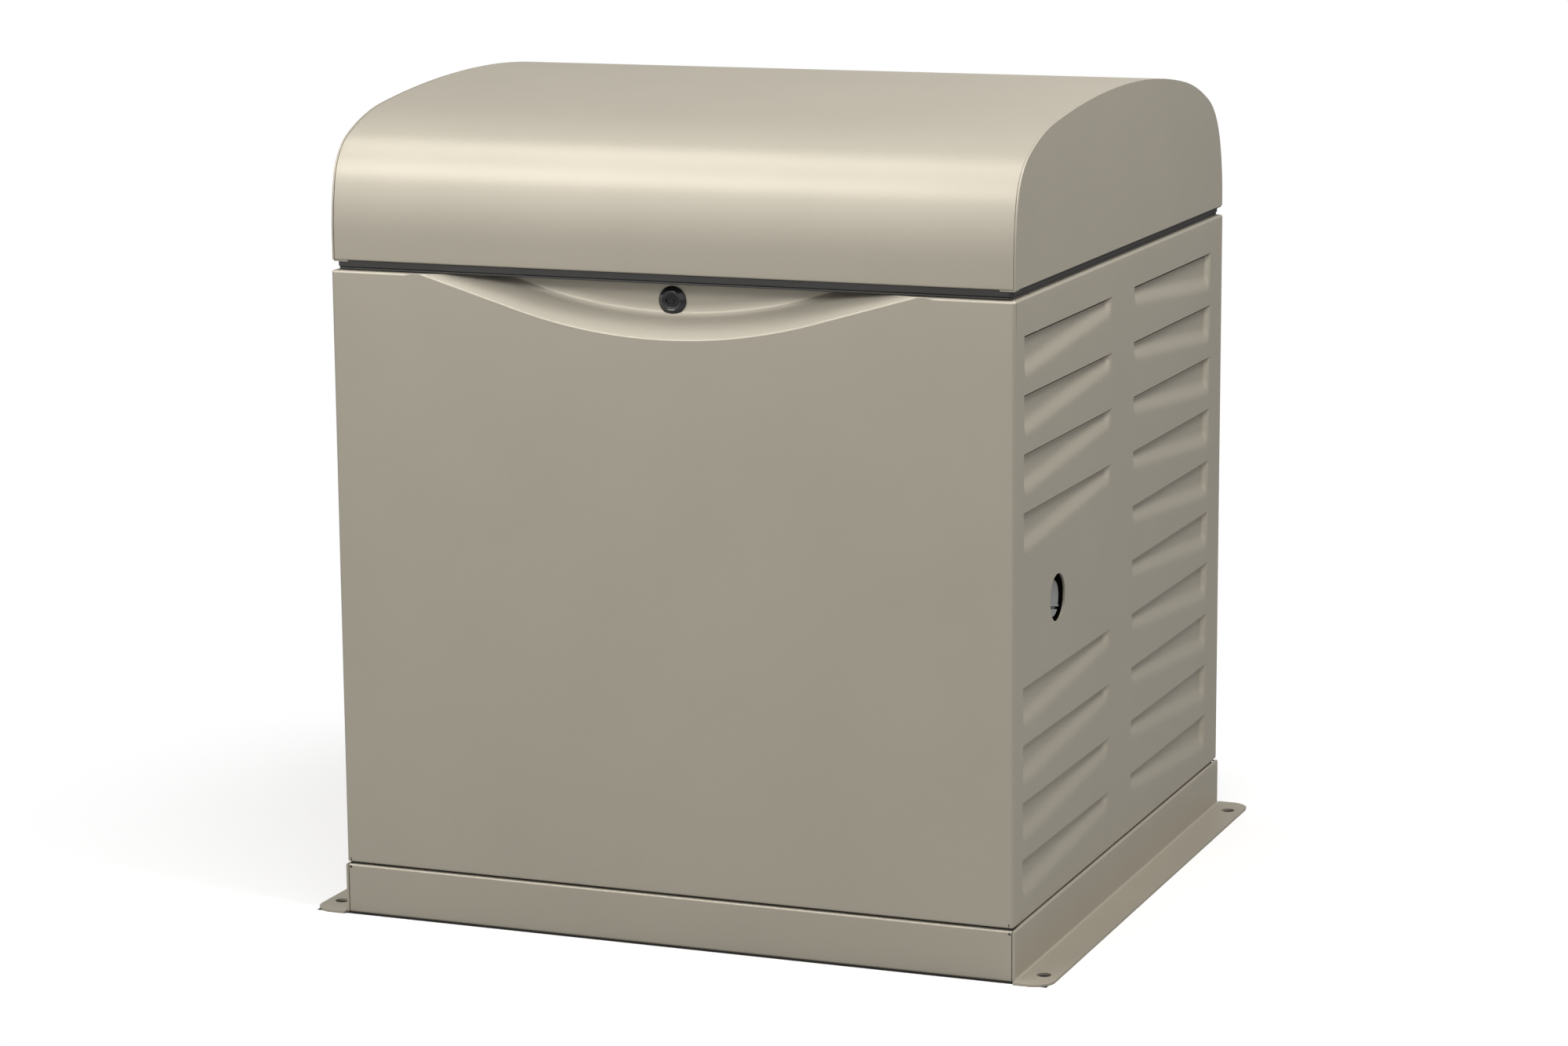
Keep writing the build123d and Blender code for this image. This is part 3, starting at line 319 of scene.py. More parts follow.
def value_range(nodes, links, source, low, high):
    """Maps a texture's value from 0..1 to low..high."""
    node = nodes.new("ShaderNodeMapRange")
    node.inputs["To Min"].default_value = low
    node.inputs["To Max"].default_value = high
    links.new(source.outputs[0], node.inputs["Value"])
    return node


def bump(nodes, links, shader, source, strength, distance):
    """Fine relief on a shader; distance in metres."""
    node = nodes.new("ShaderNodeBump")
    node.inputs["Strength"].default_value = strength
    node.inputs["Distance"].default_value = distance
    links.new(source.outputs[0], node.inputs["Height"])
    links.new(node.outputs[0], shader.inputs["Normal"])


def powder_coat(name, colour, roughness):
    """Satin powder coat: fine orange peel and faint cloudiness."""
    material, nodes, links, shader = new_material(name)
    low = [c * 0.985 for c in colour]
    high = [min(1, c * 1.015) for c in colour]
    cloud = noise(nodes, links, 9, 4)
    links.new(ramp(nodes, links, cloud, low, high).outputs[0], shader.inputs["Base Color"])
    grain = noise(nodes, links, 1400, 2)
    links.new(value_range(nodes, links, grain, roughness - 0.04, roughness + 0.04).outputs[0],
              shader.inputs["Roughness"])
    bump(nodes, links, shader, grain, 0.12, 0.0002)
    shader.inputs["Metallic"].default_value = 0.65
    return material


def surface(name, colour, roughness, metallic=0.0, grain=900, depth=0.0001, vary=0.12, coat=0.0):
    """Cast, moulded or painted surface: fine grain in the relief, cloudy colour and gloss."""
    material, nodes, links, shader = new_material(name)
    low = [c * (1 - vary) for c in colour]
    high = [min(1, c * (1 + vary)) for c in colour]
    cloud = noise(nodes, links, 22, 5)
    links.new(ramp(nodes, links, cloud, low, high).outputs[0], shader.inputs["Base Color"])
    links.new(value_range(nodes, links, cloud, roughness * 0.85, roughness * 1.15).outputs[0],
              shader.inputs["Roughness"])
    bump(nodes, links, shader, noise(nodes, links, grain, 3), 0.35, depth)
    shader.inputs["Metallic"].default_value = metallic
    shader.inputs["Coat Weight"].default_value = coat
    return material


def spangled_zinc():
    """Galvanised sheet: crystal patches of different tone and gloss."""
    material, nodes, links, shader = new_material("spangled_zinc")
    cells = nodes.new("ShaderNodeTexVoronoi")
    cells.inputs["Scale"].default_value = 140
    coords = nodes.new("ShaderNodeTexCoord")
    links.new(coords.outputs["Object"], cells.inputs["Vector"])
    tone = ramp(nodes, links, cells, (0.50, 0.51, 0.52), (0.66, 0.67, 0.68), 0.0, 1.0)
    links.new(cells.outputs["Color"], tone.inputs[0])
    links.new(tone.outputs[0], shader.inputs["Base Color"])
    gloss = value_range(nodes, links, cells, 0.30, 0.46)
    links.new(cells.outputs["Color"], gloss.inputs["Value"])
    links.new(gloss.outputs[0], shader.inputs["Roughness"])
    bump(nodes, links, shader, noise(nodes, links, 400, 3), 0.15, 0.0001)
    shader.inputs["Metallic"].default_value = 1.0
    return material


def heated_steel():
    """Exhaust steel: straw and blue heat tints in soft clouds over a brushed grain."""
    material, nodes, links, shader = new_material("heated_steel")
    cloud = noise(nodes, links, 14, 4)
    tint = ramp(nodes, links, cloud, (0.42, 0.39, 0.35), (0.33, 0.27, 0.20), 0.35, 0.65)
    blue = tint.color_ramp.elements.new(0.5)
    blue.color = (0.36, 0.36, 0.38, 1)
    links.new(tint.outputs[0], shader.inputs["Base Color"])
    links.new(value_range(nodes, links, cloud, 0.32, 0.55).outputs[0], shader.inputs["Roughness"])
    bump(nodes, links, shader, noise(nodes, links, 700, 2), 0.25, 0.0001)
    shader.inputs["Metallic"].default_value = 0.95
    return material


def copper_winding():
    """Enamelled wire laid side by side; the grooves between wires are painted darker, a painted shade that
    follows the relief.
    """
    material, nodes, links, shader = new_material("copper_winding")
    wave = nodes.new("ShaderNodeTexWave")
    wave.inputs["Scale"].default_value = 180
    wave.inputs["Distortion"].default_value = 1.5
    coords = nodes.new("ShaderNodeTexCoord")
    links.new(coords.outputs["Object"], wave.inputs["Vector"])
    # Painted shade: the same waves set the relief and the colour, darker in the grooves between the wires.
    tone = ramp(nodes, links, wave, (0.30, 0.10, 0.035), (0.62, 0.27, 0.11), 0.0, 1.0)
    links.new(tone.outputs[0], shader.inputs["Base Color"])
    bump(nodes, links, shader, wave, 0.6, 0.0006)
    shader.inputs["Metallic"].default_value = 0.8
    shader.inputs["Roughness"].default_value = 0.35
    return material


finish = {
    "powder_coat": powder_coat("powder_beige", (0.42, 0.384, 0.316), 0.54),
    "rubber_black": surface("rubber_black", (0.034, 0.033, 0.031), 0.62, grain=500, depth=0.0003),
    "lock_black": surface("lock_black", (0.010, 0.010, 0.011), 0.24, grain=600, depth=0.00003, coat=0.6),
    "lock_metal": surface("lock_metal", (0.55, 0.54, 0.52), 0.32, 1.0, 800, 0.00005),
    "zinc_steel": spangled_zinc(),
    "cast_aluminium": surface("cast_aluminium", (0.27, 0.27, 0.26), 0.66, 0.50, 620, 0.0006, 0.10),
    "cast_dark": surface("cast_dark", (0.075, 0.075, 0.078), 0.55, 0.2, 520, 0.0006, 0.15),
    "black_steel": surface("black_steel", (0.022, 0.022, 0.023), 0.40, 0.1, 900, 0.0002, coat=0.2),
    "exhaust_steel": heated_steel(),
    "plastic_black": surface("plastic_black", (0.022, 0.022, 0.024), 0.48, 0.0, 1600, 0.0003),
    "plastic_grey": surface("plastic_grey", (0.20, 0.20, 0.205), 0.46, 0.0, 1600, 0.0002, 0.05),
    "plastic_yellow": surface("plastic_yellow", (0.78, 0.50, 0.02), 0.38, 0.0, 1200, 0.0001, 0.05),
    "window": surface("window", (0.030, 0.045, 0.032), 0.10, 0.0, 300, 0.00001, coat=1.0),
    "winding": copper_winding(),
    "hose_rubber": surface("hose_rubber", (0.020, 0.020, 0.021), 0.50, 0.0, 700, 0.0003),
    "cable_sheath": surface("cable_sheath", (0.030, 0.028, 0.028), 0.42, 0.0, 900, 0.0001),
    "ceramic_white": surface("ceramic_white", (0.78, 0.77, 0.74), 0.16, 0.0, 200, 0.00002, 0.03, 0.5),
    "battery_case_mat": surface("battery_case", (0.028, 0.028, 0.030), 0.44, 0.0, 1400, 0.0003),
}


# ---------------------------------------------------------------- mesh tools

def smooth(t):
    """Eased step from 0 to 1."""
    t = min(1.0, max(0.0, t))
    return t * t * (3 - 2 * t)


def spread(start, stop, count):
    """Even values from start to stop, both included."""
    return [start + (stop - start) * k / count for k in range(count + 1)]


def merged(*parts):
    """Sorted values of all parts, each once."""
    values = sorted(v for part in parts for v in part)
    return [v for k, v in enumerate(values) if k == 0 or v - values[k - 1] > 1e-6]


def add_grid(bm, width, height, place, keep=None):
    """Quads of a grid; keep says which cells are there. Returns the columns of vertices."""
    verts = [[bm.verts.new(place(i, j)) for j in range(height)] for i in range(width)]
    for i in range(width - 1):
        for j in range(height - 1):
            if keep is None or keep(i, j):
                bm.faces.new((verts[i][j], verts[i + 1][j], verts[i + 1][j + 1], verts[i][j + 1]))
    return verts


def nearest(values, target):
    """Index of the value nearest to the target."""
    return min(range(len(values)), key=lambda k: abs(values[k] - target))


def border(verts, i_low, i_high, j_low, j_high):
    """Vertices around a block of a grid's cells, in order."""
    loop = [verts[i][j_low] for i in range(i_low, i_high)]
    loop += [verts[i_high][j] for j in range(j_low, j_high)]
    loop += [verts[i][j_high] for i in range(i_high, i_low, -1)]
    return loop + [verts[i_low][j] for j in range(j_high, j_low, -1)]


def fill_round(bm, loop, centre, radius):
    """Fills between a loop of vertices and a round hole inside it, both in one plane."""
    rings = [loop]
    for share in (0.5, 1.0):
        ring = []
        for vert in loop:
            arm = vert.co - centre
            ring.append(bm.verts.new(centre + arm * (1 + share * (radius / arm.length - 1))))
        rings.append(ring)
    for outer, inner in zip(rings, rings[1:]):
        for k in range(len(loop)):
            n = (k + 1) % len(loop)
            bm.faces.new((outer[k], outer[n], inner[n], inner[k]))


def zip_strip(bm, left, right):
    """Fills the strip between two upright columns of vertices that start and end level."""
    i = j = 0
    while i < len(left) - 1 or j < len(right) - 1:
        left_next = left[i + 1].co.z if i < len(left) - 1 else math.inf
        right_next = right[j + 1].co.z if j < len(right) - 1 else math.inf
        if abs(left_next - right_next) < 1e-7:
            bm.faces.new((left[i], right[j], right[j + 1], left[i + 1]))
            i += 1
            j += 1
        elif left_next < right_next:
            bm.faces.new((left[i], right[j], left[i + 1]))
            i += 1
        else:
            bm.faces.new((left[i], right[j], right[j + 1]))
            j += 1


def closed_rings(bm, rings):
    """Skin between closed rings of points, with a face at each end."""
    made = [[bm.verts.new(point) for point in ring] for ring in rings]
    for low, high in zip(made, made[1:]):
        for k in range(len(low)):
            n = (k + 1) % len(low)
            bm.faces.new((low[k], low[n], high[n], high[k]))
    bm.faces.new(made[0])
    bm.faces.new(made[-1])


def add_box(bm, low, high):
    """Box between two corners."""
    corners = [(low[0], low[1]), (high[0], low[1]), (high[0], high[1]), (low[0], high[1])]
    closed_rings(bm, [[(x, y, z) for x, y in corners] for z in (low[2], high[2])])


def add_lathe(bm, section, centre, axis, steps=64):
    """Turned form: section is (radius, distance along the axis); radius 0 closes an end."""
    turn = Vector(axis).normalized().to_track_quat("Z", "Y")
    rings = []
    for radius, along in section:
        count = 1 if radius < 1e-7 else steps
        angles = [2 * math.pi * k / steps for k in range(count)]
        rings.append([bm.verts.new(Vector(centre) + turn @ Vector(
            (radius * math.cos(a), radius * math.sin(a), along))) for a in angles])
    for low, high in zip(rings, rings[1:]):
        for k in range(steps):
            n = (k + 1) % steps
            corners = [low[k % len(low)], low[n % len(low)], high[n % len(high)], high[k % len(high)]]
            bm.faces.new([v for i, v in enumerate(corners) if v not in corners[:i]])


def apply_modifiers(obj):
    """Puts what the modifiers make into the mesh itself."""
    graph = bpy.context.evaluated_depsgraph_get()
    name = obj.data.name
    obj.data = bpy.data.meshes.new_from_object(obj.evaluated_get(graph))
    obj.modifiers.clear()
    obj.data.name = name


def piece(bm, name, body, slot, replaces, solid=None, sharp=35, rounding=None):
    """Turns a bmesh into a finished piece that rides a body."""
    bmesh.ops.remove_doubles(bm, verts=bm.verts, dist=2e-6)
    bmesh.ops.delete(bm, geom=[v for v in bm.verts if not v.link_faces], context="VERTS")
    mesh = bpy.data.meshes.new(name)
    bm.to_mesh(mesh)
    bm.free()
    obj = bpy.data.objects.new(name, mesh)
    scene.collection.objects.link(obj)
    if solid:
        thick = obj.modifiers.new("sheet", "SOLIDIFY")
        thick.thickness = solid
        thick.offset = -1
        apply_modifiers(obj)
    if rounding:
        edge = obj.modifiers.new("rounded_edges", "BEVEL")
        edge.width = rounding
        edge.segments = 2
        edge.limit_method = "ANGLE"
        edge.angle_limit = math.radians(sharp)
        apply_modifiers(obj)
    obj.data.materials.clear()
    obj.data.materials.append(finish[slot])
    obj.data.shade_smooth()
    obj.data.set_sharp_from_angle(angle=math.radians(sharp))
    flat = obj.modifiers.new("even_shading", "WEIGHTED_NORMAL")
    flat.keep_sharp = True
    apply_modifiers(obj)
    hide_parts(*replaces)
    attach(obj, body)


# ---------------------------------------------------------------- cabinet

EDGE_X = body_high.x - BEND
EDGE_Y = -body_low.y - BEND
BOTTOM = body_low.z
TOP = body_high.z
SCOOP_ANGLE = math.asin(SCOOP_ARC_HALF / SCOOP_RADIUS)
SCOOP_CENTRE = SCOOP_LOW + SCOOP_RADIUS
BEND_STEPS = [math.radians(a) for a in (0, 22.5, 45, 67.5, 90)]


def scoop_inside(x, z):
    """Distance from the scoop's outline to a point of the front, positive inside."""
    across, down = abs(x), SCOOP_CENTRE - z
    if math.atan2(across, down) <= SCOOP_ANGLE:
        return SCOOP_RADIUS - math.hypot(across, down)
    return SCOOP_RADIUS - across * math.sin(SCOOP_ANGLE) - down * math.cos(SCOOP_ANGLE)


def scoop_height(x, inside):
    """Height on the front where the distance inside the outline has the given value."""
    radius = SCOOP_RADIUS - inside
    if abs(x) <= radius * math.sin(SCOOP_ANGLE):
        return SCOOP_CENTRE - math.sqrt(radius * radius - x * x)
    return SCOOP_CENTRE - (radius - abs(x) * math.sin(SCOOP_ANGLE)) / math.cos(SCOOP_ANGLE)


def scoop_section():
    """The scoop's section as (distance inside the outline, depth): crease, even slope, bends."""
    points = [(SCOOP_CREASE * (math.sin(a) - math.sin(SCOOP_STEEP)), SCOOP_CREASE * (1 - math.cos(a)))
              for a in spread(0, SCOOP_STEEP, 5)]
    runs, tilt = [], SCOOP_STEEP
    for degrees, length in SCOOP_BENDS:
        tilts = spread(tilt, math.radians(degrees), 6)
        runs += [((a + b) / 2, length / 6) for a, b in zip(tilts, tilts[1:])]
        tilt = tilts[-1]
    drop = SCOOP_DEPTH - points[-1][1] - sum(math.sin(a) * length for a, length in runs)
    for angle, length in [(SCOOP_STEEP, drop / math.sin(SCOOP_STEEP))] + runs:
        inside, depth = points[-1]
        points.append((inside + length * math.cos(angle), depth + length * math.sin(angle)))
    return points


SCOOP_SECTION = scoop_section()


def scoop_depth_at(inside):
    """Depth of the scoop at a distance inside its outline."""
    if inside <= SCOOP_SECTION[0][0]:
        return 0.0
    for (t0, d0), (t1, d1) in zip(SCOOP_SECTION, SCOOP_SECTION[1:]):
        if inside <= t1:
            return d0 + (d1 - d0) * (inside - t0) / max(t1 - t0, 1e-9)
    return SCOOP_DEPTH


def bottom_rows():
    """Bottom flange and bend of the cabinet as (depth, height)."""
    bend = [(BOTTOM_BEND * (1 - math.sin(a)), BOTTOM + BOTTOM_BEND * (1 - math.cos(a)))
            for a in BEND_STEPS]
    return [(BOTTOM_FLANGE, BOTTOM)] + bend


def top_rows(depth, radius, reach):
    """Top bend and flange of the cabinet as (depth, height)."""
    bend = [(depth + radius * (1 - math.cos(a)), TOP - radius + radius * math.sin(a))
            for a in BEND_STEPS[1:]]
    return bend + [(reach, TOP)]


def front_rows(x):
    """(depth, height) of every row of the front at one place across it."""
    share = smooth((abs(x) - SCOOP_END) / SCOOP_END_EASE)
    radius = SCOOP_TOP_BEND + (TOP_BEND - SCOOP_TOP_BEND) * share
    edge = TOP - radius
    start = min(edge, scoop_height(x, SCOOP_SECTION[0][0]))
    rows = bottom_rows()
    low = rows[-1][1]
    rows.append((0.0, BOTTOM + RELIEF_FRONT))
    rows += [(0.0, low + (start - low) * share) for share in (0.04, 0.2, 0.4, 0.6, 0.8, 0.93, 1.0)]
    depth_top = scoop_depth_at(scoop_inside(x, edge))
    for inside, depth in SCOOP_SECTION[1:]:
        height = scoop_height(x, inside)
        rows.append((depth, height) if height < edge else (depth_top, edge))
    last_depth, last = rows[-1]
    rows += [(last_depth, last + (edge - last) * share) for share in (0.3, 0.6, 1.0)]
    return rows + top_rows(depth_top, radius, FRONT_FLANGE)


def front_columns():
    """(x, corner angle) of every column of the front, from the left corner to the right one."""
    half = merged(spread(0, 0.190, 19), spread(0.190, 0.244, 12), spread(0.244, 0.274, 20),
                  [0.285, 0.310, EDGE_X - 2 * RELIEF_WIDE, EDGE_X - RELIEF_WIDE, EDGE_X])
    across = sorted(set([-x for x in half[1:]] + half))
    left = [(-EDGE_X, -a) for a in reversed(BEND_STEPS[1:])]
    right = [(EDGE_X, a) for a in BEND_STEPS[1:]]
    return left + [(x, 0.0) for x in across] + right


def add_front(bm):
    """Front with both corner bends. Returns its outermost columns, without the flanges."""
    columns = front_columns()
    rows = [front_rows(x) for x, angle in columns]
    height = len(rows[0])

    def place(i, j):
        x, angle = columns[i]
        depth, z = rows[i][j]
        outwards = Vector((math.sin(angle), -math.cos(angle), 0))
        return Vector((x, -EDGE_Y, z)) + outwards * (BEND - depth)

    def keep(i, j):
        corner = columns[i][1] != 0 or columns[i + 1][1] != 0
        middle = abs(columns[i][0] + columns[i + 1][0]) / 2
        relief = abs(middle - EDGE_X + 1.5 * RELIEF_WIDE) < 1e-4 and 0 < j < len(BEND_STEPS) + 1
        return not relief and not (corner and j in (0, height - 2))

    verts = add_grid(bm, len(columns), height, place, keep)
    return verts[0][1:-1], verts[-1][1:-1]


def louvre_depth(y, z, column, slit):
    """Depth of one pressed louvre: full under its slit, ramped at both ends and at the bottom."""
    outer, inner = column
    length = abs(inner - outer)
    along = abs(y - outer) if (y - outer) * (inner - outer) > 0 else -1.0
    drop = slit - z
    low = LOUVRE_TALL + (LOUVRE_SHORT - LOUVRE_TALL) * along / length
    if along <= 0 or along >= length or drop <= 0 or drop >= low:
        return 0.0
    end = LOUVRE_END + 0.25 * drop
    ends = smooth(along / end) * smooth((length - along) / (end + LOUVRE_EASE))
    return LOUVRE_PRESS * ends * smooth((low - drop) / LOUVRE_RAMP)


def side_lines(hole):
    """y lines of a side panel, from the corner slit to the rear bend."""
    lines = [[-EDGE_Y + SLIT, SIDE_FRONT_LINE, RELIEF_Y, RELIEF_Y + RELIEF_WIDE],
             [*SIDE_REAR_LINES, EDGE_Y]]
    fine = (0, 0.0007, 0.0014, 0.0021, 0.0028, 0.0036, 0.0046, 0.006, 0.008, 0.011, 0.014)
    for outer, inner in (FRONT_COLUMN, REAR_COLUMN):
        way = 1 if inner > outer else -1
        lines.append([outer + way * step for step in fine])
        lines.append([inner - way * step for step in fine])
        lines.append(spread(min(outer, inner) + fine[-1], max(outer, inner) - fine[-1], 22))
    if hole:
        kept = [[y for y in part if abs(y - GAS_Y) > GAS_NEAR + 0.003] for part in lines]
        lines = kept + [spread(GAS_Y - GAS_NEAR, GAS_Y + GAS_NEAR, 16)]
    return merged(*lines)


def side_heights(hole):
    """z lines of a side panel between the bottom bend and the top bend."""
    drops = (0, LOUVRE_KERF, 0.0052, 0.007, 0.009, 0.0115, 0.014, 0.017, 0.020,
             0.023, 0.026, 0.029, 0.032, 0.035, 0.038, 0.041)
    lines = [[BOTTOM + BOTTOM_BEND, BOTTOM + RELIEF_SIDE, TOP - CORNER_SLIT, TOP - TOP_BEND, *SIDE_Z_LINES]]
    for row in range(LOUVRE_ROWS):
        lines.append([LOUVRE_TOP - row * LOUVRE_PITCH - drop for drop in drops])
    if hole:
        kept = [[z for z in part if abs(z - GAS_Z) > GAS_NEAR + 0.001] for part in lines]
        slit = LOUVRE_TOP - PLAIN_ROWS[0] * LOUVRE_PITCH
        rear = [slit - LOUVRE_PITCH * k - drop for k in (0, 1) for drop in drops]
        inner = [z for z in rear if abs(z - GAS_Z) < GAS_NEAR]
        lines = kept + [[GAS_Z - GAS_NEAR, GAS_Z + GAS_NEAR], inner]
    return merged(*lines)


def add_side(bm, side):
    """One louvred side with the rear bend and return. Returns its front column."""
    hole = side > 0
    ys = side_lines(hole)
    heights = side_heights(hole)
    low_rows = bottom_rows()
    rows = low_rows[:-1] + [(0.0, z) for z in heights] + top_rows(0.0, TOP_BEND, SIDE_FLANGE)
    first_flat = len(low_rows) - 1
    columns = [(y, 0.0) for y in ys] + [(EDGE_Y, a) for a in BEND_STEPS[1:]]
    returns = [body_high.x - BEND - step for step in (0.006, RETURN - BEND)]
    width = len(columns) + len(returns)
    slits = []
    for column in (FRONT_COLUMN, REAR_COLUMN):
        for row in range(LOUVRE_ROWS):
            if not (hole and column is FRONT_COLUMN and row in PLAIN_ROWS):
                slits.append((column, LOUVRE_TOP - row * LOUVRE_PITCH))

    def pressed(y, z):
        return max(louvre_depth(y, z, column, slit) for column, slit in slits)

    lips = [slit - LOUVRE_KERF for column, slit in slits]

    def place(i, j):
        depth, z = rows[j]
        if i >= len(columns):
            x = returns[i - len(columns)]
            return Vector((side * x, EDGE_Y + BEND - depth, z))
        y, angle = columns[i]
        if angle == 0 and depth == 0:
            depth = pressed(y, z)
            if any(abs(z - lip) < 1e-6 for lip in lips):
                z += (LOUVRE_KERF - 0.0002) * (1 - depth / LOUVRE_PRESS)
        outwards = Vector((side * math.cos(angle), math.sin(angle), 0))
        return Vector((side * EDGE_X, y, z)) + outwards * (BEND - depth)

    def in_hole(i, j):
        if not hole or i >= len(ys) - 1 or not first_flat <= j < first_flat + len(heights) - 1:
            return False
        y = (ys[i] + ys[i + 1]) / 2
        z = (rows[j][1] + rows[j + 1][1]) / 2
        return abs(y - GAS_Y) < GAS_NEAR and abs(z - GAS_Z) < GAS_NEAR

    def in_slit(i, j):
        if i >= len(ys) - 1:
            return False
        y = (ys[i] + ys[i + 1]) / 2
        z = (rows[j][1] + rows[j + 1][1]) / 2
        return any(slit - LOUVRE_KERF < z < slit and min(column) < y < max(column)
                   for column, slit in slits)

    def in_relief(i, j):
        return i == ys.index(RELIEF_Y) and j < len(BEND_STEPS) + 1

    rear_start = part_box("rear_panel")[0].y

    def keep(i, j):
        if j not in (0, len(rows) - 2):
            return not in_hole(i, j) and not in_slit(i, j) and not in_relief(i, j)
        if i >= len(ys) - 1 or in_relief(i, j):
            return False
        front_end = body_low.y + (FRONT_FLANGE if j else BOTTOM_FLANGE)
        return front_end < (ys[i] + ys[i + 1]) / 2 < rear_start

    def turned(i):
        return width - 1 - i if side < 0 else i

    verts = add_grid(bm, width, len(rows), lambda i, j: place(turned(i), j),
                     lambda i, j: keep(min(turned(i), turned(i + 1)), j))
    if side < 0:
        verts.reverse()
    if hole:
        flats = [z for depth, z in rows]
        loop = border(verts, nearest(ys, GAS_Y - GAS_NEAR), nearest(ys, GAS_Y + GAS_NEAR),
                      nearest(flats, GAS_Z - GAS_NEAR), nearest(flats, GAS_Z + GAS_NEAR))
        fill_round(bm, loop, Vector((body_high.x, GAS_Y, GAS_Z)), GAS_HOLE)
    return verts[0][1:-1]


def cabinet():
    """Folded sheet with the scoop, both louvred sides and the flanges."""
    bm = bmesh.new()
    left_front, right_front = add_front(bm)
    left_side, right_side = add_side(bm, -1), add_side(bm, 1)
    slit_z = TOP - CORNER_SLIT
    for front, side, swap in ((right_front, right_side, False), (left_front, left_side, True)):
        front = [v for v in front if v.co.z < slit_z + 1e-6]
        side = [v for v in side if v.co.z < slit_z + 1e-6]
        if swap:
            front, side = side, front
        zip_strip(bm, front, side)
    piece(bm, "cabinet_wrap", "cabinet", "powder_coat", ("body_shell",), SHEET)


cabinet()


# ---------------------------------------------------------------- lid

def lid_half(side):
    """Points of one half of the lid's profile, from the hem to the crown: (y, z, slope)."""
    upright, arcs = LID_FRONT if side < 0 else LID_REAR
    y, z, slope = skin_high.y, upright, math.pi / 2
    points = [(side * y, lid_low.z + BOTTOM_BEND + (upright - lid_low.z - BOTTOM_BEND) * k / 3, slope)
              for k in range(4)]
    drop = y
    top = lid_high.z
    for radius, end in arcs:
        end = math.radians(end)
        steps = max(6, round(radius * (slope - end) / 0.006))
        for angle in spread(slope, end, steps)[1:]:
            run = radius * (math.sin(slope) - math.sin(angle))
            rise = radius * (math.cos(angle) - math.cos(slope))
            points.append((side * (y - run), z + rise, angle))
        y = abs(points[-1][0])
        z = points[-1][1]
        slope = end
    radius = (y * y + (top - z) ** 2) / (2 * (top - z))
    start = math.asin(y / radius)
    for angle in spread(start, 0, 24)[1:]:
        points.append((side * radius * math.sin(angle), top - radius * (1 - math.cos(angle)), angle))
    return points


def lid_profile():
    """Whole profile from the front hem to the rear hem as (point, outward normal) in YZ."""
    front = [((y, z), (-math.sin(a), math.cos(a))) for y, z, a in lid_half(-1)]
    rear = [((y, z), (math.sin(a), math.cos(a))) for y, z, a in lid_half(1)]
    return front + rear[-2::-1]


def lid_skin():
    """Wrapped sheet with a rounded edge next to each end cap and a folded hem."""
    profile = lid_profile()
    hem_front = [(BOTTOM_BEND * (1 - math.sin(a)), lid_low.z + BOTTOM_BEND * (1 - math.cos(a)))
                 for a in BEND_STEPS[:-1]]
    rows = []
    for depth, z in [(SIDE_FLANGE, lid_low.z)] + hem_front:
        rows.append(((-skin_high.y + depth, z), (-1, 0)))
    rows += profile
    for depth, z in reversed([(SIDE_FLANGE, lid_low.z)] + hem_front):
        rows.append(((skin_high.y - depth, z), (1, 0)))
    reach = skin_high.x
    ends = [(reach, LID_EDGE), (reach - 0.0002, 0.0002), (reach - LID_EDGE, 0.0)]
    across = [(-x, d) for x, d in ends] + [(x, 0.0) for x in spread(-LID_FLAT_HALF, LID_FLAT_HALF, LID_CELLS)]
    across += [(x, d) for x, d in reversed(ends)]

    def place(i, j):
        (y, z), (ny, nz) = rows[j]
        x, depth = across[i]
        return Vector((x, y - ny * depth, z - nz * depth))

    bm = bmesh.new()
    add_grid(bm, len(across), len(rows), place)
    bmesh.ops.recalc_face_normals(bm, faces=bm.faces)
    piece(bm, "lid_wrap", "lid", "powder_coat", ("lid_skin",), SHEET)


lid_skin()


def lid_cap(side):
    """End cap with a softened rim, a hem flange and a tab at each end of the hem."""
    y_hem, face = skin_high.y, lid_high.x
    outline = [((-y_hem, lid_low.z), (-0.7, -0.7))] + lid_profile() + [((y_hem, lid_low.z), (0.7, -0.7))]
    bm = bmesh.new()
    closed_rings(bm, [[(side * (face - back), y - ny * inset, z - nz * inset)
                       for (y, z), (ny, nz) in outline] for back, inset in CAP_RIM])
    flange = sorted((side * (face - SIDE_FLANGE), side * (face - 0.001)))
    add_box(bm, (flange[0], -y_hem + CAP_FLANGE_GAP, lid_low.z),
            (flange[1], y_hem - CAP_FLANGE_GAP, lid_low.z + SHEET))
    tab = sorted((side * (face - TAB_REACH), side * (face - 0.0012)))
    for y in (-y_hem + 0.0015, y_hem - 0.0135):
        add_box(bm, (tab[0], y, lid_low.z - TAB_DROP), (tab[1], y + TAB_LONG, lid_low.z + 0.001))
    if side > 0:
        prop_clip(bm)
    bmesh.ops.recalc_face_normals(bm, faces=bm.faces)
    end = "right" if side > 0 else "left"
    piece(bm, "lid_cap_" + end, "lid", "powder_coat", ("lid_end_" + end,))


def prop_clip(bm):
    """C-shaped clip on the right end cap that takes the tip of the prop rod."""
    inner, outer = CLIP_X, lid_high.x - 0.001
    corners = [v.co for v in frame["nodes"]["lid_end_right"].data.vertices if abs(v.co.x - inner) < 1e-4]
    middle = Vector((0, (min(c.y for c in corners) + max(c.y for c in corners)) / 2,
                     (min(c.z for c in corners) + max(c.z for c in corners)) / 2))
    wide, tall, slot = 0.010, 0.009, 0.0048
    outline = ((-wide, -tall), (wide, -tall), (wide, tall), (-wide, tall), (-wide, slot), (slot, slot),
               (slot, -slot), (-wide, -slot))
    turn = Matrix.Rotation(CLIP_TILT, 3, "X")
    closed_rings(bm, [[middle + turn @ Vector((0, y, z)) + Vector((x, 0, 0)) for y, z in outline]
                      for x in (inner, outer)])


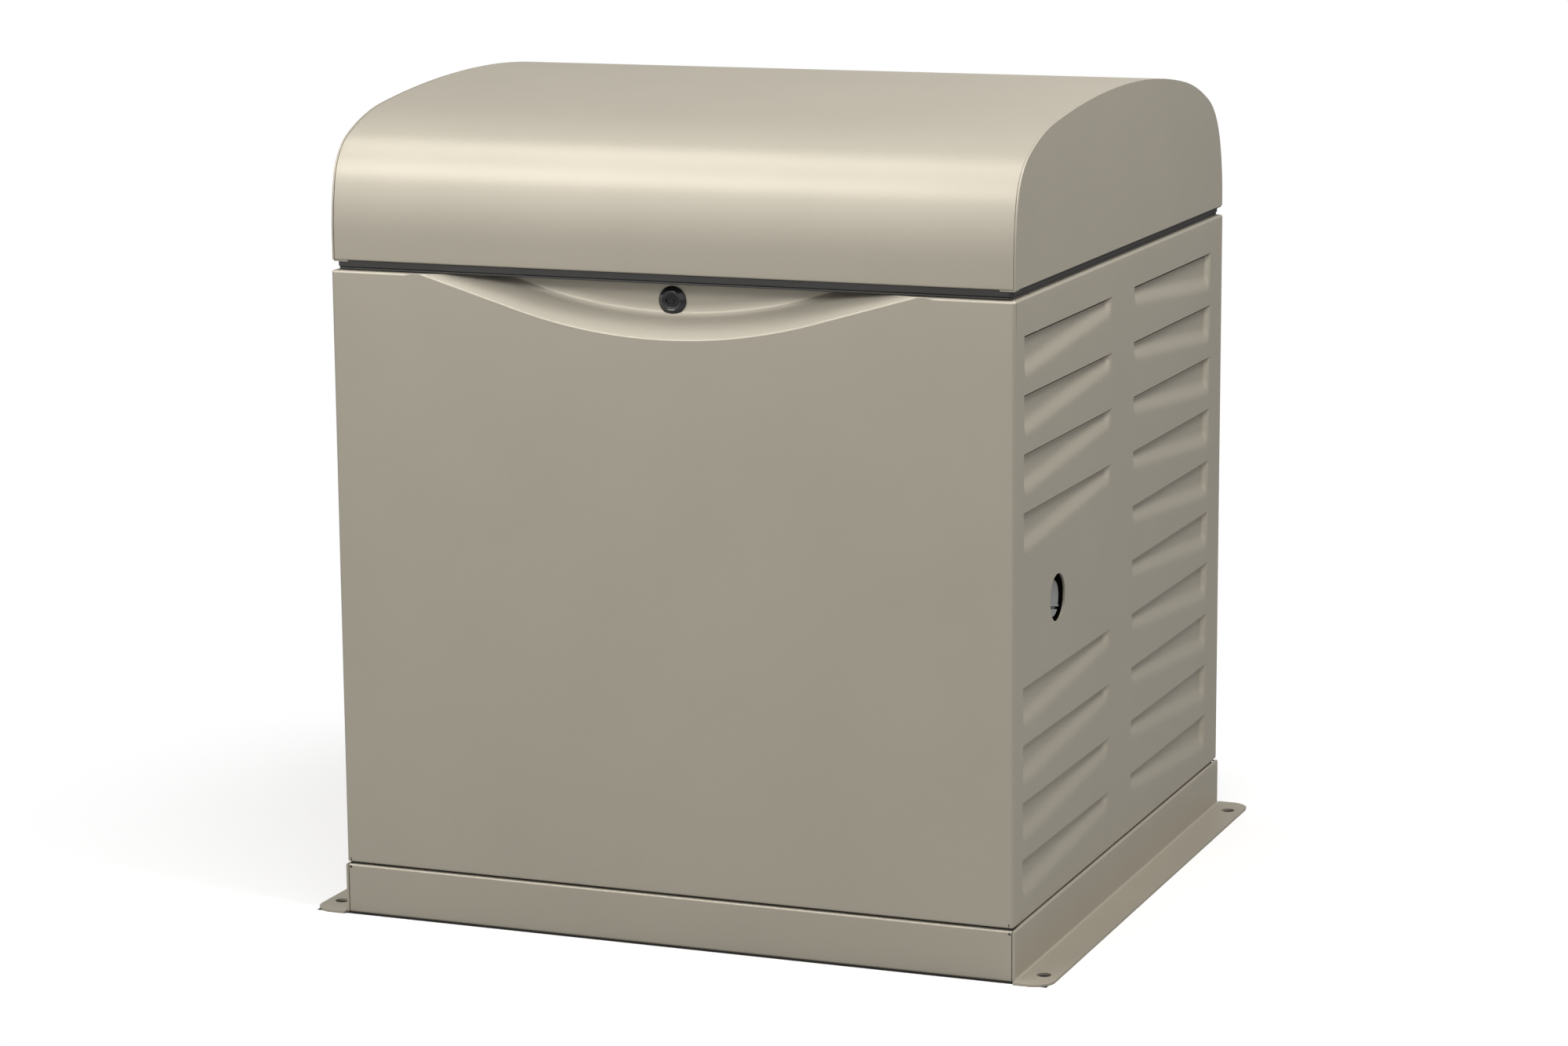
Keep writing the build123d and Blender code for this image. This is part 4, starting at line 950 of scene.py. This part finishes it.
lid_cap(-1)
lid_cap(1)


# ---------------------------------------------------------------- seals, lock, gas fitting, stator

def rounded_loop(half_x, half_y, corner, steps=6):
    """Points of a rounded rectangle with their outward normals."""
    points = []
    for quarter, (sx, sy) in enumerate(((1, 1), (-1, 1), (-1, -1), (1, -1))):
        for angle in spread(quarter * math.pi / 2, (quarter + 1) * math.pi / 2, steps):
            normal = Vector((math.cos(angle), math.sin(angle), 0))
            middle = Vector((sx * (half_x - corner), sy * (half_y - corner), 0))
            points.append((middle + normal * corner, normal))
    return points


def frame_strip(name, node, body, slot, corner, section):
    """Strip round a rounded rectangle; section is a closed list of (inset, height above its foot)."""
    low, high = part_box(node)
    loop = rounded_loop(high.x, high.y, corner)
    bm = bmesh.new()
    rows = [[bm.verts.new(point - normal * inset + Vector((0, 0, low.z + up)))
             for point, normal in loop] for inset, up in section]
    for k, row in enumerate(rows):
        above = rows[(k + 1) % len(rows)]
        for i in range(len(loop)):
            n = (i + 1) % len(loop)
            bm.faces.new((row[i], row[n], above[n], above[i]))
    bmesh.ops.recalc_face_normals(bm, faces=bm.faces)
    piece(bm, name, body, slot, (node,))


def seals():
    """Foam seal with a bead along its foot under the lid, and the foam strip on the base."""
    tall = lid_low.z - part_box("lid_gasket")[0].z
    inner, radius = 0.0135, 0.0010
    bead = [(radius + radius * (1 - math.cos(a)), radius * (1 + math.sin(a)))
            for a in (math.radians(step) for step in (90, 45, 0, -45, -90))]
    lid_section = [(inner, tall), (0.0, tall), (0.0, tall - 0.0004), (0.0004, 0.0032), (0.0012, 0.0024)]
    frame_strip("lid_seal", "lid_gasket", "lid", "rubber_black", 0.005,
                lid_section + bead + [(inner, 0.0)])
    low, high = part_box("base_gasket")
    rise = high.z - low.z
    frame_strip("base_seal", "base_gasket", "cabinet", "rubber_black", 0.003,
                [(0.016, rise), (0.0004, rise), (0.0, rise / 2), (0.0004, 0.0), (0.016, 0.0)])


def lock_bezel():
    """Black bezel with a wide bevel and a stepped inner face, its barrel and nut."""
    low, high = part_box("lock_housing")
    middle = ((low.x + high.x) / 2, 0, (low.z + high.z) / 2)
    face = SCOOP_DEPTH + body_low.y
    bore, radius = 0.00605, 0.014
    section = [(bore, -0.008), (0.0094, -0.008), (0.0094, -0.006), (0.013, -0.006), (0.013, -SHEET),
               (0.0094, -SHEET), (0.0094, 0.0), (radius, 0.0), (radius, 0.0009), (0.0137, 0.0014),
               (0.0132, 0.0017), (0.0098, 0.0037), (0.0093, 0.0040), (0.0088, 0.0039),
               (0.0083, 0.0036), (0.0080, 0.0034), (0.0066, 0.0034), (0.0063, 0.0032),
               (bore, 0.0030), (bore, -0.008)]
    bm = bmesh.new()
    add_lathe(bm, section, Vector(middle) + Vector((0, face, 0)), (0, -1, 0), 96)
    bmesh.ops.recalc_face_normals(bm, faces=bm.faces)
    piece(bm, "lock_bezel", "cabinet", "lock_black", ("lock_housing",), sharp=50)


def lock_core():
    """Plug face with a ring recess around a pin, a slot each side and a raised arc below."""
    low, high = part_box("lock_plug")
    middle = Vector(((low.x + high.x) / 2, low.y, (low.z + high.z) / 2))
    radii = [0.0, 0.0024, 0.0027, 0.00275, 0.0038, 0.00385, 0.0044, 0.00445, 0.0052, 0.00525, 0.0057,
             0.0060]
    steps = 96
    bm = bmesh.new()

    def rise(radius, angle):
        side = min(abs(angle), abs(abs(angle) - math.pi))
        if 0.0027 < radius < 0.00384 or (0.0027 < radius < 0.0057 and side < math.radians(19)):
            return -0.0016
        if 0.0044 < radius < 0.00524 and abs(angle + math.pi / 2) < math.radians(24):
            return 0.00025
        return 0.0 if radius < 0.0058 else -0.0003

    rings = []
    for radius in radii[1:]:
        ring = []
        for k in range(steps):
            angle = math.pi * (2 * (k + 0.5) / steps - 1)
            at = Vector((radius * math.cos(angle), -rise(radius, angle), radius * math.sin(angle)))
            ring.append(bm.verts.new(middle + at))
        rings.append(ring)
    rings.append([bm.verts.new((v.co.x, high.y, v.co.z)) for v in rings[-1]])
    for inner, outer in zip(rings, rings[1:]):
        for k in range(steps):
            n = (k + 1) % steps
            bm.faces.new((inner[k], inner[n], outer[n], outer[k]))
    bm.faces.new(rings[0])
    bm.faces.new(rings[-1])
    bmesh.ops.recalc_face_normals(bm, faces=bm.faces)
    piece(bm, "lock_core", "lock", "lock_black", ("lock_plug",), sharp=30)


def add_chord(bm, centre, radius, low, high, back, front):
    """Slice of a disc that faces +X, between two heights measured from its centre, then turned."""
    turns = [2 * math.pi * k / 72 for k in range(72)]
    cut = [(radius * math.cos(a), min(max(radius * math.sin(a), low), high)) for a in turns]
    cos, sin = math.cos(GAS_BAND_TILT), math.sin(GAS_BAND_TILT)
    outline = [(y * cos + z * sin, z * cos - y * sin) for y, z in cut]
    closed_rings(bm, [[(x, centre.y + y, centre.z + z) for y, z in outline] for x in (back, front)])


def gas_fitting():
    """Guessed cast body behind the hole: a closed face with a raised step above a groove."""
    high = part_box("gas_inlet")[1]
    drop, radius, groove_floor = 0.0015, 0.0180, 0.0030
    centre = Vector((high.x, GAS_Y, GAS_Z - drop))
    bm = bmesh.new()
    section = [(0.0, -groove_floor), (radius - 0.0006, -groove_floor), (radius, -groove_floor - 0.0006),
               (radius, -0.021), (0.0150, -0.023), (0.0150, -0.076), (0.0, -0.076)]
    add_lathe(bm, section, centre, (1, 0, 0), 96)
    add_lathe(bm, [(0.0, 0.0), (GAS_STUB_RADIUS, 0.0), (GAS_STUB_RADIUS, GAS_STUB_LENGTH - 0.0006),
                   (GAS_STUB_RADIUS - 0.0006, GAS_STUB_LENGTH), (0.0, GAS_STUB_LENGTH)],
              (GAS_STUB_X, GAS_Y, GAS_Z), (0, -1, 0))
    back = high.x - groove_floor - 0.0004
    for bottom, top, proud in ((-0.0055, 1, -0.0010), (-0.0073, -0.0055, 0.0), (-1, -0.0102, -0.0004)):
        add_chord(bm, centre, radius - 0.0004, bottom, top, back, high.x + proud)
    bmesh.ops.recalc_face_normals(bm, faces=bm.faces)
    piece(bm, "gas_valve_casting", "cabinet", "cast_aluminium", ("gas_inlet",))


def stator_core():
    """Ribbed dark housing of the stator, standing on its foot."""
    low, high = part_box("stator")
    radius = high.z - SHAFT_Z
    bm = bmesh.new()
    bore, lip, rib, pitch = 0.066, 0.010, 0.0035, 0.012
    section = [(bore, low.x), (radius - 0.001, low.x), (radius, low.x + 0.001), (radius, low.x + lip)]
    along = low.x + lip
    while along + pitch < high.x - lip:
        section += [(radius - rib, along + 0.0006), (radius - rib, along + pitch * 0.55),
                    (radius - 0.0008, along + pitch * 0.6), (radius - 0.0008, along + pitch)]
        along += pitch
    section += [(radius, high.x - lip), (radius, high.x - 0.001), (radius - 0.001, high.x), (bore, high.x)]
    add_lathe(bm, section + section[:1], (0, 0, SHAFT_Z), (1, 0, 0), 120)
    foot_top = low.z + STATOR_FOOT_TALL
    add_box(bm, (STATOR_FOOT_X[0], low.y, low.z), (STATOR_FOOT_X[1], high.y, foot_top))
    add_box(bm, (STATOR_WEB_X[0], -STATOR_WEB_HALF, foot_top - 0.001),
            (STATOR_WEB_X[1], STATOR_WEB_HALF, STATOR_WEB_TOP))
    bmesh.ops.recalc_face_normals(bm, faces=bm.faces)
    piece(bm, "stator_housing", "cabinet", "cast_dark", ("stator",))


def stator_coils():
    """Bundled end turns of the winding at both ends of the stator."""
    low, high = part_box("stator")
    bm = bmesh.new()
    coils, steps, middle, thick, reach = 24, 192, 0.0765, 0.0075, 0.012
    for edge, way in ((low.x, -1), (high.x, 1)):
        section = [(way * (reach * math.sin(a) - 0.002), thick * math.cos(a))
                   for a in spread(-0.15, math.pi + 0.15, 12)]
        rings = []
        for k in range(steps):
            turn = 2 * math.pi * k / steps
            swell = 1 - 0.22 * abs(math.sin(coils * turn / 2)) ** 6
            rings.append([bm.verts.new((edge + along * swell, (middle + out * swell) * math.sin(turn),
                                        SHAFT_Z + (middle + out * swell) * math.cos(turn)))
                          for along, out in section])
        for a, b in zip(rings, rings[1:] + rings[:1]):
            for j in range(len(section)):
                n = (j + 1) % len(section)
                bm.faces.new((a[j], a[n], b[n], b[j]))
    bmesh.ops.recalc_face_normals(bm, faces=bm.faces)
    piece(bm, "stator_end_turns", "cabinet", "winding", ("stator",))


seals()
lock_bezel()
lock_core()
gas_fitting()
stator_core()
stator_coils()


# ---------------------------------------------------------------- CAD parts that keep their shape

REPLACED = ("body_shell", "lid_skin", "lid_end_left", "lid_end_right", "lid_gasket", "base_gasket",
            "lock_housing", "lock_plug", "gas_inlet", "stator")


def softened(node, body, slot):
    """Copy of a CAD part with its sharp edges rounded off, which stands for that part."""
    bm = bmesh.new()
    bm.from_mesh(frame["nodes"][node].data)
    bmesh.ops.remove_doubles(bm, verts=bm.verts, dist=1e-6)
    bmesh.ops.dissolve_limit(bm, angle_limit=math.radians(0.5), verts=bm.verts, edges=bm.edges)
    piece(bm, node + "_finished", body, slot, (node,), rounding=EDGE_ROUNDING)


body_of = {node: body for body, nodes in frame["record"]["behaviour"]["bodies"].items() for node in nodes}
for entry in frame["record"]["subparts"]:
    if entry["node"] not in REPLACED:
        softened(entry["node"], body_of[entry["node"]], entry["material_slot"])
